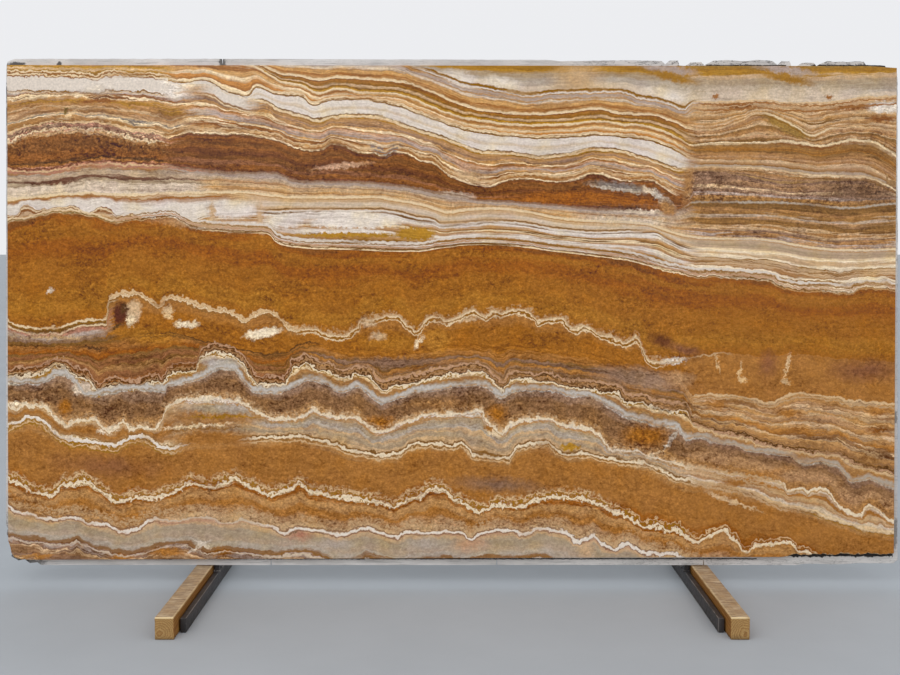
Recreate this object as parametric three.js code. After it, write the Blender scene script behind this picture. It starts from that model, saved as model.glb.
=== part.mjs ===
// A polished tiger onyx slab, glued to a pale backing board and leaning on a slab stand.
// Millimetres, +Z up. The polished face looks along -Y, and its top leans back towards +Y.
// The origin is the middle of the stand's footprint, on the floor.
import * as THREE from "three";

// Driving dimensions
const LEAN = THREE.MathUtils.degToRad(4.5); // of the slab and the uprights, from the vertical
const SEAT_GAP = 0.3; // between pieces that rest on, are glued to or are welded to each other

const SLAB = { width: 2700, height: 1502, thickness: 20, arris: 1 };
const BACKING = { side: 11, above: 24, below: 20, thickness: 9 };
const NICK = { width: 4, depth: 16 }; // a narrow crack in the edge of the backing board

const BEARER = { centre: 756, width: 50, height: 60, front: 467, length: 900, arris: 3 };
const BAR = { width: 16, depth: 40, arris: 1.5 }; // flat steel bar that the stand is welded from
const FOOT = { clearance: 4, setback: 54, rear: 410 }; // clearance: to the timber beside it
const UPRIGHT_TOP = 1400; // height over the floor
const STAY_TOP = 1040; // height over the floor where the stay meets the upright
const STAY_REACH = 290; // from the upright's back to the stay's foot
const RAIL_SLOPES = { lower: 260, upper: 1240 }; // distance up the slab's slope

// Places that follow from them
const FACE_FOOT_Y = BEARER.front - BEARER.length / 2; // where the polished face ends at the bottom
const BACKING_FRONT = SLAB.thickness + SEAT_GAP; // depth behind the polished face
const BACKING_REAR = BACKING_FRONT + BACKING.thickness;
const FRAME_FRONT = BACKING_REAR + SEAT_GAP;
const FACE_FOOT_Z =
  BEARER.height + SEAT_GAP + BACKING_REAR * Math.sin(LEAN) + BACKING.below * Math.cos(LEAN);
const FOOT_CENTRE = BEARER.centre - BEARER.width / 2 - FOOT.clearance - BAR.width / 2;
const RAIL_END = FOOT_CENTRE - BAR.width / 2 - SEAT_GAP;

const ONYX = new THREE.MeshStandardMaterial({ color: 0xb0702c, roughness: 0.2, metalness: 0 });
const BACKING_RESIN = new THREE.MeshStandardMaterial({ color: 0xc8c6c4, roughness: 0.8, metalness: 0 });
const TIMBER = new THREE.MeshStandardMaterial({ color: 0xa5875a, roughness: 0.85, metalness: 0 });
const STEEL = new THREE.MeshStandardMaterial({ color: 0x3c3737, roughness: 0.6, metalness: 0.8 });

const stand = new THREE.Group();

function addPiece(parent, name, geometry, material) {
  const piece = new THREE.Mesh(geometry, material);
  piece.name = name;
  parent.add(piece);
}

// The slab's own frame: X along the slab, Y back from the polished face, Z up its slope.
const leaning = new THREE.Group();
leaning.rotation.x = -LEAN;
leaning.position.set(0, FACE_FOOT_Y, FACE_FOOT_Z);
stand.add(leaning);

// A plate that stands upright between two depths, from an outline of [x, z] points.
function platePiece(outline, front, rear, arris) {
  const shape = new THREE.Shape(outline.map(([x, z]) => new THREE.Vector2(x, z)));
  const geometry = new THREE.ExtrudeGeometry(shape, {
    depth: rear - front - 2 * arris,
    bevelEnabled: arris > 0,
    bevelThickness: arris,
    bevelSize: arris,
    bevelOffset: -arris,
    bevelSegments: 1,
  });
  geometry.rotateX(Math.PI / 2);
  geometry.translate(0, rear - arris, 0);
  return geometry;
}

// The polished slab: nearly square, with a broken lower left corner and a chipped lower right edge.
function onyxOutline() {
  const side = SLAB.width / 2;
  const top = SLAB.height;
  const brokenCorner = [
    [-side + 3, 58],
    [-side + 13, 21],
    [-side + 20, 8],
    [-side + 40, 2],
    [-side + 70, 0],
  ];
  const chippedEdge = [
    [700, 8],
    [1022, 9],
    [1040, 16],
    [1075, 13],
    [1108, 18],
    [1150, 14],
    [1192, 19],
    [1234, 15],
    [1262, 21],
    [1300, 16],
    [side - 9, 19],
  ];
  const squareTop = [
    [side - 3, 700],
    [side, top - 9],
    [side - 85, top - 3],
    [side - 400, top],
    [-side, top],
  ];
  return [...brokenCorner, ...chippedEdge, ...squareTop];
}
addPiece(leaning, "onyx_slab", platePiece(onyxOutline(), 0, SLAB.thickness, SLAB.arris), ONYX);

// The backing board: a little larger than the slab, with nicked, broken edges.
function nick(x, edge, inwards) {
  return [
    [x - (inwards * NICK.width) / 2, edge],
    [x - (inwards * NICK.width) / 4, edge + inwards * NICK.depth],
    [x + (inwards * NICK.width) / 4, edge + inwards * NICK.depth],
    [x + (inwards * NICK.width) / 2, edge],
  ];
}
function backingOutline() {
  const side = SLAB.width / 2 + BACKING.side;
  const bottom = -BACKING.below;
  const top = SLAB.height + BACKING.above;
  const crumbledCorner = [
    [-side, 104],
    [-side + 6, 92],
    [-side + 1, 78],
    [-side + 9, 60],
    [-side + 22, 24],
    [-side + 16, 8],
    [-side + 38, -6],
    [-side + 58, -3],
    [-side + 74, -14],
    [-side + 96, -11],
    [-side + 108, bottom],
  ];
  const lowerEdge = [...nick(-552, bottom, 1), ...nick(137, bottom, 1), ...nick(768, bottom, 1)];
  const rightCorner = [
    [1050, bottom],
    [1075, bottom + 4],
    [1180, bottom + 2],
    [1240, bottom + 6],
    [side - 14, bottom + 5],
    [side, bottom + 16],
    [side, top - 44],
    [side - 12, top - 30],
    [side - 32, top - 32],
    [side - 40, top - 20],
    [side - 98, top - 17],
    [side - 104, top - 8],
  ];
  const brokenTop = [
    [1142, top - 7],
    [1120, top - 15],
    [1112, top - 22],
    [1104, top - 10],
    [1070, top - 12],
    [1052, top - 21],
    [1036, top - 22],
    [1030, top - 7],
    [1006, top - 6],
    [993, top - 17],
    [978, top - 6],
    [940, top - 3],
    [884, top - 6],
    [832, top - 2],
    [798, top - 5],
    [782, top - 13],
    [770, top - 19],
    [760, top - 9],
    [728, top - 11],
    [712, top - 21],
    [694, top - 20],
    [690, top - 5],
    [664, top - 5],
    [651, top - 16],
    [640, top - 6],
    [520, top - 4],
    [330, top - 7],
    [290, top - 3],
    [60, top - 1],
  ];
  const leftTop = [
    ...nick(-701, top, -1),
    [-1335, top],
    [-side + 4, top - 8],
    [-side, top - 26],
  ];
  return [...crumbledCorner, ...lowerEdge, ...rightCorner, ...brokenTop, ...leftTop];
}
addPiece(
  leaning,
  "backing_board",
  platePiece(backingOutline(), BACKING_FRONT, BACKING_REAR, 0),
  BACKING_RESIN,
);

// A bar that runs along X, from its section in [y, z] points.
function barAlongX(section, from, to) {
  const shape = new THREE.Shape(section.map(([y, z]) => new THREE.Vector2(y, z)));
  const geometry = new THREE.ExtrudeGeometry(shape, { depth: to - from, bevelEnabled: false });
  geometry.rotateY(Math.PI / 2);
  geometry.rotateX(Math.PI / 2);
  geometry.translate(from, 0, 0);
  return geometry;
}

// A bar that runs along Y with its section centred on x, standing on the floor, with worn arrises.
function barAlongY(x, width, height, arris, from, to) {
  const half = width / 2;
  const section = [
    [-half + arris, 0],
    [half - arris, 0],
    [half, arris],
    [half, height - arris],
    [half - arris, height],
    [-half + arris, height],
    [-half, height - arris],
    [-half, arris],
  ];
  return platePiece(section, from, to, 0).translate(x, 0, 0);
}

// Depth of the stand's leaning front, at a height over the floor.
function frameFrontY(z) {
  const rise = z - FACE_FOOT_Z;
  return FACE_FOOT_Y + FRAME_FRONT / Math.cos(LEAN) + rise * Math.tan(LEAN);
}

// One side of the stand: a timber bearer, and a steel foot, upright and back stay in one plane.
function uprightSection() {
  const depth = BAR.depth / Math.cos(LEAN);
  const foot = BAR.depth + SEAT_GAP;
  return [
    [frameFrontY(foot), foot],
    [frameFrontY(foot) + depth, foot],
    [frameFrontY(UPRIGHT_TOP) + depth, UPRIGHT_TOP],
    [frameFrontY(UPRIGHT_TOP), UPRIGHT_TOP],
  ];
}
function staySection() {
  const foot = BAR.depth + SEAT_GAP;
  const uprightBack = (z) => frameFrontY(z) + (BAR.depth + SEAT_GAP) / Math.cos(LEAN);
  const footFront = uprightBack(foot) + STAY_REACH;
  const rake = Math.atan2(footFront - uprightBack(STAY_TOP), STAY_TOP - foot);
  const footDepth = BAR.depth / Math.cos(rake);
  const headRise = BAR.depth / Math.sin(rake + LEAN) / Math.cos(LEAN);
  return [
    [footFront, foot],
    [footFront + footDepth, foot],
    [uprightBack(STAY_TOP + headRise), STAY_TOP + headRise],
    [uprightBack(STAY_TOP), STAY_TOP],
  ];
}
const BEARER_FRONT_Y = -BEARER.length / 2;
const FOOT_FRONT_Y = BEARER_FRONT_Y + FOOT.setback;
const FOOT_REAR_Y = FACE_FOOT_Y + FOOT.rear;
for (const [name, hand] of [
  ["left", -1],
  ["right", 1],
]) {
  const bearerX = hand * BEARER.centre;
  const footX = hand * FOOT_CENTRE;
  const barSides = [footX - BAR.width / 2, footX + BAR.width / 2];
  addPiece(
    stand,
    `${name}_timber_bearer`,
    barAlongY(bearerX, BEARER.width, BEARER.height, BEARER.arris, BEARER_FRONT_Y, -BEARER_FRONT_Y),
    TIMBER,
  );
  addPiece(
    stand,
    `${name}_steel_foot`,
    barAlongY(footX, BAR.width, BAR.depth, BAR.arris, FOOT_FRONT_Y, FOOT_REAR_Y),
    STEEL,
  );
  addPiece(stand, `${name}_upright`, barAlongX(uprightSection(), ...barSides), STEEL);
  addPiece(stand, `${name}_back_stay`, barAlongX(staySection(), ...barSides), STEEL);
}

// Rails that join the two sides: two up the uprights, behind the board, and one along the floor.
function railSection(front, bottom) {
  return [
    [front, bottom],
    [front + BAR.depth, bottom],
    [front + BAR.depth, bottom + BAR.depth],
    [front, bottom + BAR.depth],
  ];
}
for (const [name, slope] of Object.entries(RAIL_SLOPES)) {
  const section = railSection(FRAME_FRONT, slope);
  addPiece(leaning, `${name}_cross_rail`, barAlongX(section, -RAIL_END, RAIL_END), STEEL);
}
const FLOOR_RAIL_Y = FOOT_REAR_Y - BAR.depth;
addPiece(
  stand,
  "floor_cross_rail",
  barAlongX(railSection(FLOOR_RAIL_Y, 0), -RAIL_END, RAIL_END),
  STEEL,
);

export default stand;
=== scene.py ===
"""The looks of a polished tiger onyx slab on its timber and steel stand."""

import functools
import math

import bmesh
import bpy
from mathutils import Matrix, Vector, noise


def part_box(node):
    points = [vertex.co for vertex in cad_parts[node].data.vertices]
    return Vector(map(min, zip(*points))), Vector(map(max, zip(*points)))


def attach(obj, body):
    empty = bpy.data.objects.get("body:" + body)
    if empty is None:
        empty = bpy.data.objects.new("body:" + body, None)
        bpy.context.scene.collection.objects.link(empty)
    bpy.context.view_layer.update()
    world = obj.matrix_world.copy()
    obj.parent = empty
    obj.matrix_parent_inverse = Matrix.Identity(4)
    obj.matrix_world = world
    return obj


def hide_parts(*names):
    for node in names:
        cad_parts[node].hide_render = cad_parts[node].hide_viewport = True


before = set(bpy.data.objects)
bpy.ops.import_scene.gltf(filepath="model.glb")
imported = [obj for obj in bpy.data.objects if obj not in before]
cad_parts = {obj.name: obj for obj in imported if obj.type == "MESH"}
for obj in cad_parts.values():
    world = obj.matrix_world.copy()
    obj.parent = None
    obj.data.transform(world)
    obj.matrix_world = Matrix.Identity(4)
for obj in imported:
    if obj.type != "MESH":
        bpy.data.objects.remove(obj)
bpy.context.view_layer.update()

# ---------------------------------------------------------------- sizes, in metres

LEAN = math.radians(4.5)
SLAB_LENGTH = 2.7
SLAB_THICKNESS = 0.02
SLAB_HEIGHT = 1.502

slab_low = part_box("onyx_slab")[0]
FACE_FOOT = Vector((0.0, slab_low.y, slab_low.z + SLAB_THICKNESS * math.sin(LEAN)))

UPWARD = Matrix.Rotation(-LEAN, 3, "X") @ Vector((0, 0, 1))
BACKWARD = Matrix.Rotation(-LEAN, 3, "X") @ Vector((0, 1, 0))

MERGE = 1e-5  # a CAD node's points closer than this are one
FLAT_ANGLE = 0.01  # neighbouring faces that turn by less than this are one
SMOOTH_UNDER = math.radians(35)  # faces that meet at less than this are shaded as one

SLACK = 1e-6  # a cut runs through the points that are closer to it than this

CHIP_STEP = 0.0035  # between the cuts where the slab's edge is chipped
CHIP_GRAINS = (0.017, 0.006)  # large and small shells broken off it
CHIP_FADE = 0.02  # at either end of a chipped edge
SHELLS = [(0.0005, 1.0), (0.01, 0.7), (math.inf, 0.2)]  # how deep they are, up to each depth behind the face
EDGE_LOOKS = (-0.25, -0.6)  # faces that look down or to the left by more than this are the edge's
BROKEN_LOOKS = -0.3  # faces of the chipped edge that look down by more than this are dull

BOARD_REAR = 0.0293  # behind the polished face
MESH_SQUARE = 0.02
RIM_STEP = 0.005  # between the points of the board's crumbled rim
RIM_GRAINS = (0.035, 0.011, 0.02)  # large, small, and through the board
RIM_CRUMBLE = 0.0012
UPPER_RIM_FROM = 1.45  # up the slope
BROKEN_FROM = 0.75  # along the board, whose upper and right rims are broken more deeply from here on
BROKEN_BLEND = 0.1
BROKEN_CRUMBLE = 0.0016  # added there
SEAM_RAGGED = (0.004, 0.6)  # how far the open seams wander, and what is added to it for their own height

ARRIS_TIMBER = 0.003
TIMBER_CELL = 0.01
RING_WIDTH = 0.005

ARRIS_STEEL = 0.0015
BAR_DEPTH = 0.04
STAY_RAKE = 1.04  # a raking bar's depth, told along the floor, over its own depth
BEAD_STEP = 0.0035
BEAD_SIZE = 0.0032
BEAD_INSET = 0.003  # from the edges of a rail

FLOOR_SIZE = 400
SKY_STRENGTH = 0.93
LAMP_AIM = Vector((0, 0, 0.8))
CAMERA_AIM = Vector((-0.006, 0.0, 0.675))  # on the slab: along it, behind its face, and up its slope
CAMERA_AWAY = 3.413

# Dark patches on the backing board, dirt where it is broken and painted shade where they lie along the slab's
# edges: middle along and up the slope, half length, half height, and strength.
DIRT_AND_SHADE = [
    ("broken lower corner", -1.33, 0.04, 0.05, 0.09, 0.8),
    ("chipped lower edge", -1.29, -0.012, 0.05, 0.012, 0.7),
    ("upper left corner", -1.33, 1.508, 0.03, 0.008, 0.9),
    ("upper left nick", -1.198, 1.510, 0.009, 0.008, 0.9),
    ("upper joint", -0.70, 1.515, 0.012, 0.016, 0.8),
    ("left edge by the upper corner", -1.356, 1.42, 0.012, 0.03, 0.9),
    ("left edge below it", -1.356, 1.35, 0.012, 0.03, 0.8),
    ("right edge", 1.353, 0.43, 0.007, 0.02, 0.6),
    ("chipped right edge", 1.35, 0.08, 0.012, 0.05, 0.6),
    ("right upper corner", 1.30, 1.508, 0.05, 0.008, 0.9),
]

# Painted shade and dirt in the open seams between the slab and the board: start and end along the slab,
# lowest and highest.
SEAM_SHADES = [
    ("upper left", -1.332, -1.20, 1.500, 1.505),
    ("upper break", 0.775, 1.02, 1.500, 1.507),
    ("second upper break", 1.10, 1.325, 1.500, 1.507),
    ("chipped lower edge", 1.0, 1.345, 0.006, 0.034),
    ("along the foot", -1.25, 0.93, -0.002, 0.0015),
    ("beside the right edge", 1.344, 1.3475, 0.33, 0.46),
    ("beside the upper right edge", 1.3505, 1.3535, 1.05, 1.44),
    ("beside the upper left edge", -1.3545, -1.3505, 1.33, 1.46),
]

# The bands are drawn on a grid over the polished face. Steps are counted to the right and down, and are about
# 3 mm each. The face's lower left corner is at step GRID_LEFT along and GRID_BOTTOM down.
STEPS_ALONG_FACE = 890
STEP = SLAB_LENGTH / STEPS_ALONG_FACE
GRID_LEFT = 7
GRID_BOTTOM = 560
GRID_WIDTH = 900
GRID_HEIGHT = 600
FACE_TOP = 64

# ---------------------------------------------------------------- the slab's bands

# Each horizon is the line where one band ends and the next begins, from the top of the slab down. Its points
# are grid steps along and grid steps down.
HORIZONS = {
    "grey_cap": [(0, 58), (390, 60), (415, 67), (437, 74), (453, 80), (466, 85), (482, 87), (501, 90),
        (515, 93), (530, 95), (545, 93), (560, 92), (600, 91), (620, 91), (640, 97), (663, 101), (684, 108),
        (694, 102), (720, 102), (760, 100), (790, 103), (815, 103), (860, 98), (900, 96)],
    "gold_top": [(0, 59), (250, 62), (266, 68), (279, 74), (290, 76), (300, 77), (319, 81), (338, 78),
        (367, 80), (396, 82), (415, 87), (434, 94), (445, 99), (472, 109), (491, 112), (530, 115),
        (568, 113), (600, 110), (617, 114), (654, 116), (673, 122), (692, 130), (705, 131), (740, 122),
        (760, 114), (775, 118), (800, 131), (812, 137), (830, 130), (870, 128), (900, 133)],
    "gold_bottom": [(0, 60), (250, 64), (262, 69), (272, 76), (285, 82), (300, 84), (319, 92), (338, 88),
        (367, 92), (396, 93), (415, 99), (434, 107), (453, 114), (472, 118), (491, 121), (530, 124),
        (568, 123), (600, 120), (619, 123), (640, 124), (654, 127), (665, 131), (680, 138), (692, 144),
        (705, 143), (740, 142), (780, 141), (803, 143), (818, 146), (830, 144), (852, 140), (872, 141),
        (887, 149), (900, 157)],
    "white_top": [(0, 76), (9, 76), (60, 77), (82, 78), (96, 80), (107, 76), (134, 77), (160, 79),
        (175, 83), (190, 82), (201, 81), (214, 84), (222, 90), (236, 95), (247, 98), (252, 91), (257, 88),
        (268, 92), (277, 95), (300, 97), (315, 106), (325, 102), (363, 100), (380, 103), (396, 106),
        (415, 113), (434, 120), (453, 127), (472, 132), (491, 135), (510, 137), (539, 139), (568, 138),
        (600, 136), (624, 138), (648, 141), (665, 147), (676, 151), (686, 157), (700, 160), (740, 161),
        (780, 163), (806, 166), (820, 168), (856, 166), (870, 169), (887, 178), (900, 187)],
    "white_bottom": [(0, 77), (9, 77), (60, 78), (82, 79), (96, 81), (107, 77), (134, 78), (160, 80),
        (175, 84), (190, 83), (201, 82), (214, 85), (222, 91), (236, 96), (248, 99), (262, 99), (277, 107),
        (300, 113), (319, 118), (332, 115), (363, 114), (386, 117), (405, 124), (424, 130), (443, 136),
        (463, 144), (482, 150), (510, 151), (539, 155), (568, 152), (600, 147), (638, 154), (667, 164),
        (682, 168), (692, 168), (740, 168), (780, 171), (806, 175), (830, 176), (870, 179), (900, 192)],
    "umber_top": [(0, 137), (8, 135), (34, 126), (63, 123), (96, 123), (115, 127), (130, 131), (150, 134),
        (159, 135), (168, 139), (178, 136), (190, 134), (230, 135), (255, 137), (277, 141), (300, 150),
        (319, 151), (332, 145), (348, 149), (363, 154), (376, 155), (384, 157), (396, 153), (407, 155),
        (422, 162), (434, 164), (445, 174), (457, 180), (472, 185), (491, 187), (501, 183), (530, 180),
        (558, 183), (577, 180), (593, 174), (600, 175), (611, 178), (629, 182), (648, 181), (663, 188),
        (688, 199), (691, 173), (715, 171), (734, 174), (763, 180), (790, 184), (816, 182), (839, 180),
        (868, 182), (900, 188)],
    "umber_bottom": [(0, 169), (38, 171), (63, 168), (96, 163), (125, 164), (165, 166), (205, 170),
        (240, 172), (277, 173), (300, 181), (319, 181), (363, 182), (396, 185), (415, 188), (434, 192),
        (463, 196), (478, 200), (501, 201), (530, 203), (568, 206), (600, 209), (629, 210), (657, 212),
        (677, 210), (695, 202), (760, 202), (803, 204), (849, 208), (880, 205), (900, 203)],
    "cream_ribbon": [(0, 200), (96, 193), (125, 195), (182, 192), (239, 192), (270, 195), (300, 197),
        (357, 197), (376, 197), (396, 200), (415, 203), (434, 208), (449, 212), (463, 210), (491, 208),
        (510, 209), (530, 212), (549, 216), (568, 219), (600, 221), (625, 222), (648, 224), (660, 228),
        (680, 234), (696, 237), (763, 239), (810, 247), (849, 250), (900, 249)],
    "white_ribbon": [(0, 214), (15, 216), (20, 208), (26, 205), (36, 209), (75, 206), (85, 212), (97, 209),
        (104, 206), (112, 209), (117, 216), (125, 212), (134, 215), (150, 218), (170, 217), (190, 219),
        (214, 213), (256, 211), (268, 212), (300, 211), (376, 211), (396, 213), (415, 218), (434, 221),
        (442, 225), (463, 224), (491, 222), (510, 223), (530, 225), (549, 229), (568, 231), (600, 233),
        (630, 232), (654, 232), (667, 238), (686, 246), (715, 249), (753, 252), (782, 254), (810, 259),
        (849, 261), (900, 258)],
    "amber_top": [(0, 226), (29, 220), (50, 215), (73, 214), (95, 218), (115, 224), (135, 221), (172, 218),
        (191, 228), (215, 231), (241, 233), (268, 234), (277, 243), (300, 248), (350, 250), (415, 252),
        (443, 248), (472, 245), (510, 246), (549, 251), (600, 257), (629, 261), (648, 266), (667, 272),
        (692, 277), (734, 279), (772, 283), (784, 289), (830, 293), (845, 294), (864, 290), (887, 290),
        (900, 294)],
    "amber_bottom": [(0, 316), (8, 321), (15, 326), (33, 329), (58, 329), (73, 324), (85, 321), (106, 320),
        (108, 300), (115, 296), (134, 293), (145, 299), (159, 308), (166, 298), (184, 300), (201, 308),
        (230, 313), (245, 322), (251, 317), (265, 312), (276, 315), (287, 328), (300, 330), (316, 330),
        (324, 335), (346, 337), (359, 327), (363, 318), (371, 321), (384, 317), (399, 318), (408, 327),
        (415, 333), (421, 331), (426, 320), (434, 318), (447, 322), (459, 319), (467, 313), (474, 311),
        (484, 318), (492, 313), (503, 314), (517, 311), (533, 315), (537, 323), (549, 320), (562, 320),
        (568, 326), (574, 331), (585, 327), (600, 335), (612, 338), (625, 344), (638, 337), (643, 350),
        (648, 361), (657, 363), (677, 360), (696, 356), (724, 352), (760, 356), (800, 354), (850, 360),
        (900, 362)],
    "lilac_brown": [(0, 344), (60, 346), (105, 342), (140, 334), (170, 332), (200, 340), (225, 344),
        (245, 351), (254, 353), (270, 354), (285, 352), (300, 345), (312, 342), (350, 352), (400, 350),
        (450, 344), (520, 345), (600, 355), (640, 368), (680, 375), (692, 395), (715, 394), (734, 395),
        (760, 400), (772, 404), (785, 396), (800, 393), (829, 396), (852, 401), (900, 404)],
    "wave_top": [(0, 373), (8, 373), (25, 372), (40, 370), (54, 362), (65, 364), (78, 373), (87, 375),
        (93, 382), (99, 390), (106, 383), (119, 382), (135, 386), (148, 380), (158, 377), (162, 383),
        (168, 372), (174, 368), (197, 367), (199, 353), (216, 347), (235, 352), (243, 359), (250, 371),
        (256, 381), (287, 381), (290, 365), (300, 363), (305, 357), (320, 367), (333, 367), (337, 373),
        (345, 374), (357, 370), (370, 372), (378, 382), (385, 388), (394, 381), (405, 381), (420, 378),
        (430, 374), (443, 372), (462, 369), (478, 368), (488, 372), (496, 381), (503, 388), (509, 377),
        (520, 374), (535, 378), (549, 377), (568, 384), (585, 384), (600, 387), (617, 388), (628, 400),
        (640, 397), (655, 404), (677, 408), (688, 406), (692, 420), (705, 425), (724, 430), (743, 432),
        (755, 438), (765, 440), (778, 445), (791, 446), (810, 449), (837, 450), (852, 458), (868, 465),
        (885, 467), (900, 471)],
    "grey_ribbon": [(0, 382), (8, 383), (38, 384), (45, 382), (58, 374), (68, 376), (76, 384), (84, 396),
        (95, 396), (119, 391), (153, 390), (165, 392), (168, 386), (190, 382), (201, 378), (216, 369),
        (236, 370), (246, 384), (254, 392), (280, 393), (292, 388), (300, 384), (308, 379), (325, 383),
        (334, 390), (344, 392), (357, 386), (370, 395), (382, 404), (398, 399), (415, 392), (443, 389),
        (472, 385), (487, 387), (496, 394), (503, 398), (516, 390), (549, 391), (568, 396), (587, 396),
        (600, 401), (614, 408), (625, 415), (638, 419), (657, 425), (677, 427), (686, 440), (699, 437),
        (715, 441), (734, 446), (753, 451), (772, 454), (791, 457), (803, 463), (820, 462), (839, 467),
        (852, 482), (868, 478), (887, 486), (900, 488)],
    "crinkle_top": [(0, 404), (8, 404), (16, 410), (24, 403), (33, 406), (44, 405), (52, 413), (56, 419),
        (66, 424), (78, 421), (90, 418), (96, 420), (108, 431), (118, 428), (122, 419), (130, 430),
        (138, 427), (147, 426), (155, 430), (161, 424), (165, 409), (172, 403), (186, 399), (204, 397),
        (222, 398), (238, 401), (250, 406), (258, 413), (268, 417), (285, 419), (300, 417), (306, 414),
        (314, 407), (320, 413), (338, 417), (357, 416), (366, 424), (373, 430), (384, 431), (395, 425),
        (408, 421), (424, 415), (440, 414), (453, 413), (470, 412), (481, 408), (486, 419), (494, 426),
        (498, 432), (505, 432), (509, 424), (520, 420), (537, 418), (550, 417), (558, 424), (575, 425),
        (587, 428), (600, 433), (606, 444), (612, 450), (638, 451), (650, 456), (677, 464), (707, 468),
        (740, 474), (772, 480), (784, 484), (788, 491), (801, 487), (808, 491), (818, 487), (828, 490),
        (835, 500), (841, 509), (856, 515), (862, 515), (866, 505), (878, 507), (885, 517), (900, 522)],
    "crinkle_bottom": [(0, 428), (8, 425), (20, 421), (28, 416), (38, 418), (50, 428), (61, 437), (75, 440),
        (85, 441), (103, 444), (115, 446), (122, 443), (130, 437), (146, 436), (155, 443), (163, 448),
        (176, 447), (200, 440), (230, 440), (258, 438), (290, 436), (300, 437), (320, 440), (338, 444),
        (346, 449), (360, 452), (377, 455), (399, 454), (408, 446), (419, 443), (440, 444), (453, 445),
        (461, 443), (466, 447), (471, 454), (491, 457), (510, 457), (516, 447), (528, 444), (549, 442),
        (556, 449), (563, 454), (587, 453), (600, 457), (627, 461), (646, 462), (677, 478), (707, 483),
        (745, 490), (784, 506), (811, 510), (826, 517), (849, 524), (868, 530), (900, 532)],
    "grain_line": [(0, 474), (8, 478), (18, 482), (30, 491), (45, 494), (55, 494), (60, 484), (72, 485),
        (82, 480), (88, 481), (98, 489), (110, 497), (118, 503), (128, 499), (137, 496), (150, 500),
        (165, 494), (180, 490), (190, 481), (205, 486), (215, 485), (235, 478), (246, 484), (262, 491),
        (272, 495), (285, 491), (300, 482), (310, 491), (333, 496), (352, 498), (373, 501), (388, 504),
        (395, 508), (402, 501), (420, 496), (430, 488), (445, 489), (452, 499), (465, 504), (478, 511),
        (489, 509), (495, 504), (520, 507), (533, 500), (548, 498), (562, 497), (587, 499), (600, 505),
        (612, 511), (620, 512), (631, 518), (643, 527), (658, 525), (667, 530), (676, 527), (690, 539),
        (697, 541), (712, 534), (726, 527), (730, 536), (737, 539), (741, 550), (748, 552), (755, 544),
        (770, 543), (793, 541), (797, 550), (809, 552), (818, 558), (850, 568), (900, 574)],
    "white_line": [(0, 498), (8, 504), (14, 511), (30, 513), (40, 517), (59, 519), (66, 516), (80, 517),
        (88, 522), (104, 523), (116, 529), (124, 531), (136, 528), (148, 521), (155, 517), (162, 520),
        (175, 520), (192, 517), (208, 516), (222, 522), (232, 522), (240, 518), (258, 522), (270, 525),
        (283, 532), (300, 528), (325, 531), (346, 535), (357, 528), (372, 529), (385, 534), (397, 537),
        (410, 529), (424, 533), (449, 531), (463, 532), (470, 540), (482, 532), (499, 529), (517, 531),
        (522, 535), (539, 527), (549, 529), (567, 531), (573, 538), (581, 541), (595, 533), (600, 543),
        (607, 545), (616, 550), (620, 544), (629, 543), (645, 552), (663, 554), (672, 552), (679, 557),
        (700, 566), (900, 582)],
    "brown_line": [(0, 534), (11, 537), (35, 540), (54, 543), (70, 542), (78, 539), (92, 547), (105, 550),
        (120, 553), (134, 553), (150, 549), (163, 545), (185, 543), (195, 548), (210, 552), (225, 549),
        (240, 551), (262, 554), (285, 553), (300, 551), (320, 554), (335, 563), (357, 563), (367, 556),
        (380, 560), (400, 563), (430, 560), (445, 558), (460, 562), (480, 559), (510, 559), (535, 556),
        (550, 558), (562, 562), (600, 572), (900, 596)],
}

# The stone's colours, each named once.
STONE = {
    "snow": "f0e2d2", "chalk": "f2dcba", "milk": "e3d4c4", "bone": "d6bfa4", "cream": "ecd0a6",
    "butter": "e0bb8c", "straw": "cda980", "sand": "caa57a", "beige": "bfa284", "putty": "b09778",
    "pebble": "b59c84", "dove": "b9ac9e", "mist": "b8a794", "sage": "b9a188", "greygreen": "b09b80",
    "lilac": "b39c8c", "slate": "cdc3b8", "bronze": "a06a2c", "mahogany": "6e4022", "ash": "85776c",
    "blush": "c69a78", "rose": "b67e64", "mauve": "96755c", "dusk": "8c6950", "plum": "6c4634",
    "plumbrown": "76563e", "tan": "b98955", "fawn": "b4885e", "drab": "a37c4f", "cork": "a97948",
    "hazel": "966a38", "bark": "835c2f", "peach": "cc9a5e", "apricot": "c48442", "sienna": "a06833",
    "honey": "b5842e", "marigold": "b87c30", "gold": "a47428", "oldgold": "9c7638", "olive": "80642e",
    "ochre": "8e601e", "amber": "a26624", "ambergold": "aa7028", "softamber": "aa7238", "smoke": "93603a",
    "copper": "98581e", "rust": "8a5426", "brick": "8c5a3a", "umber": "7a4c24", "cocoa": "5c3c22",
    "coffee": "4a3624", "maroon": "74442c", "oxblood": "5e3222", "taupe": "946d4a", "speckle": "8a6340",
    "wood": "7e562a",
}

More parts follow.
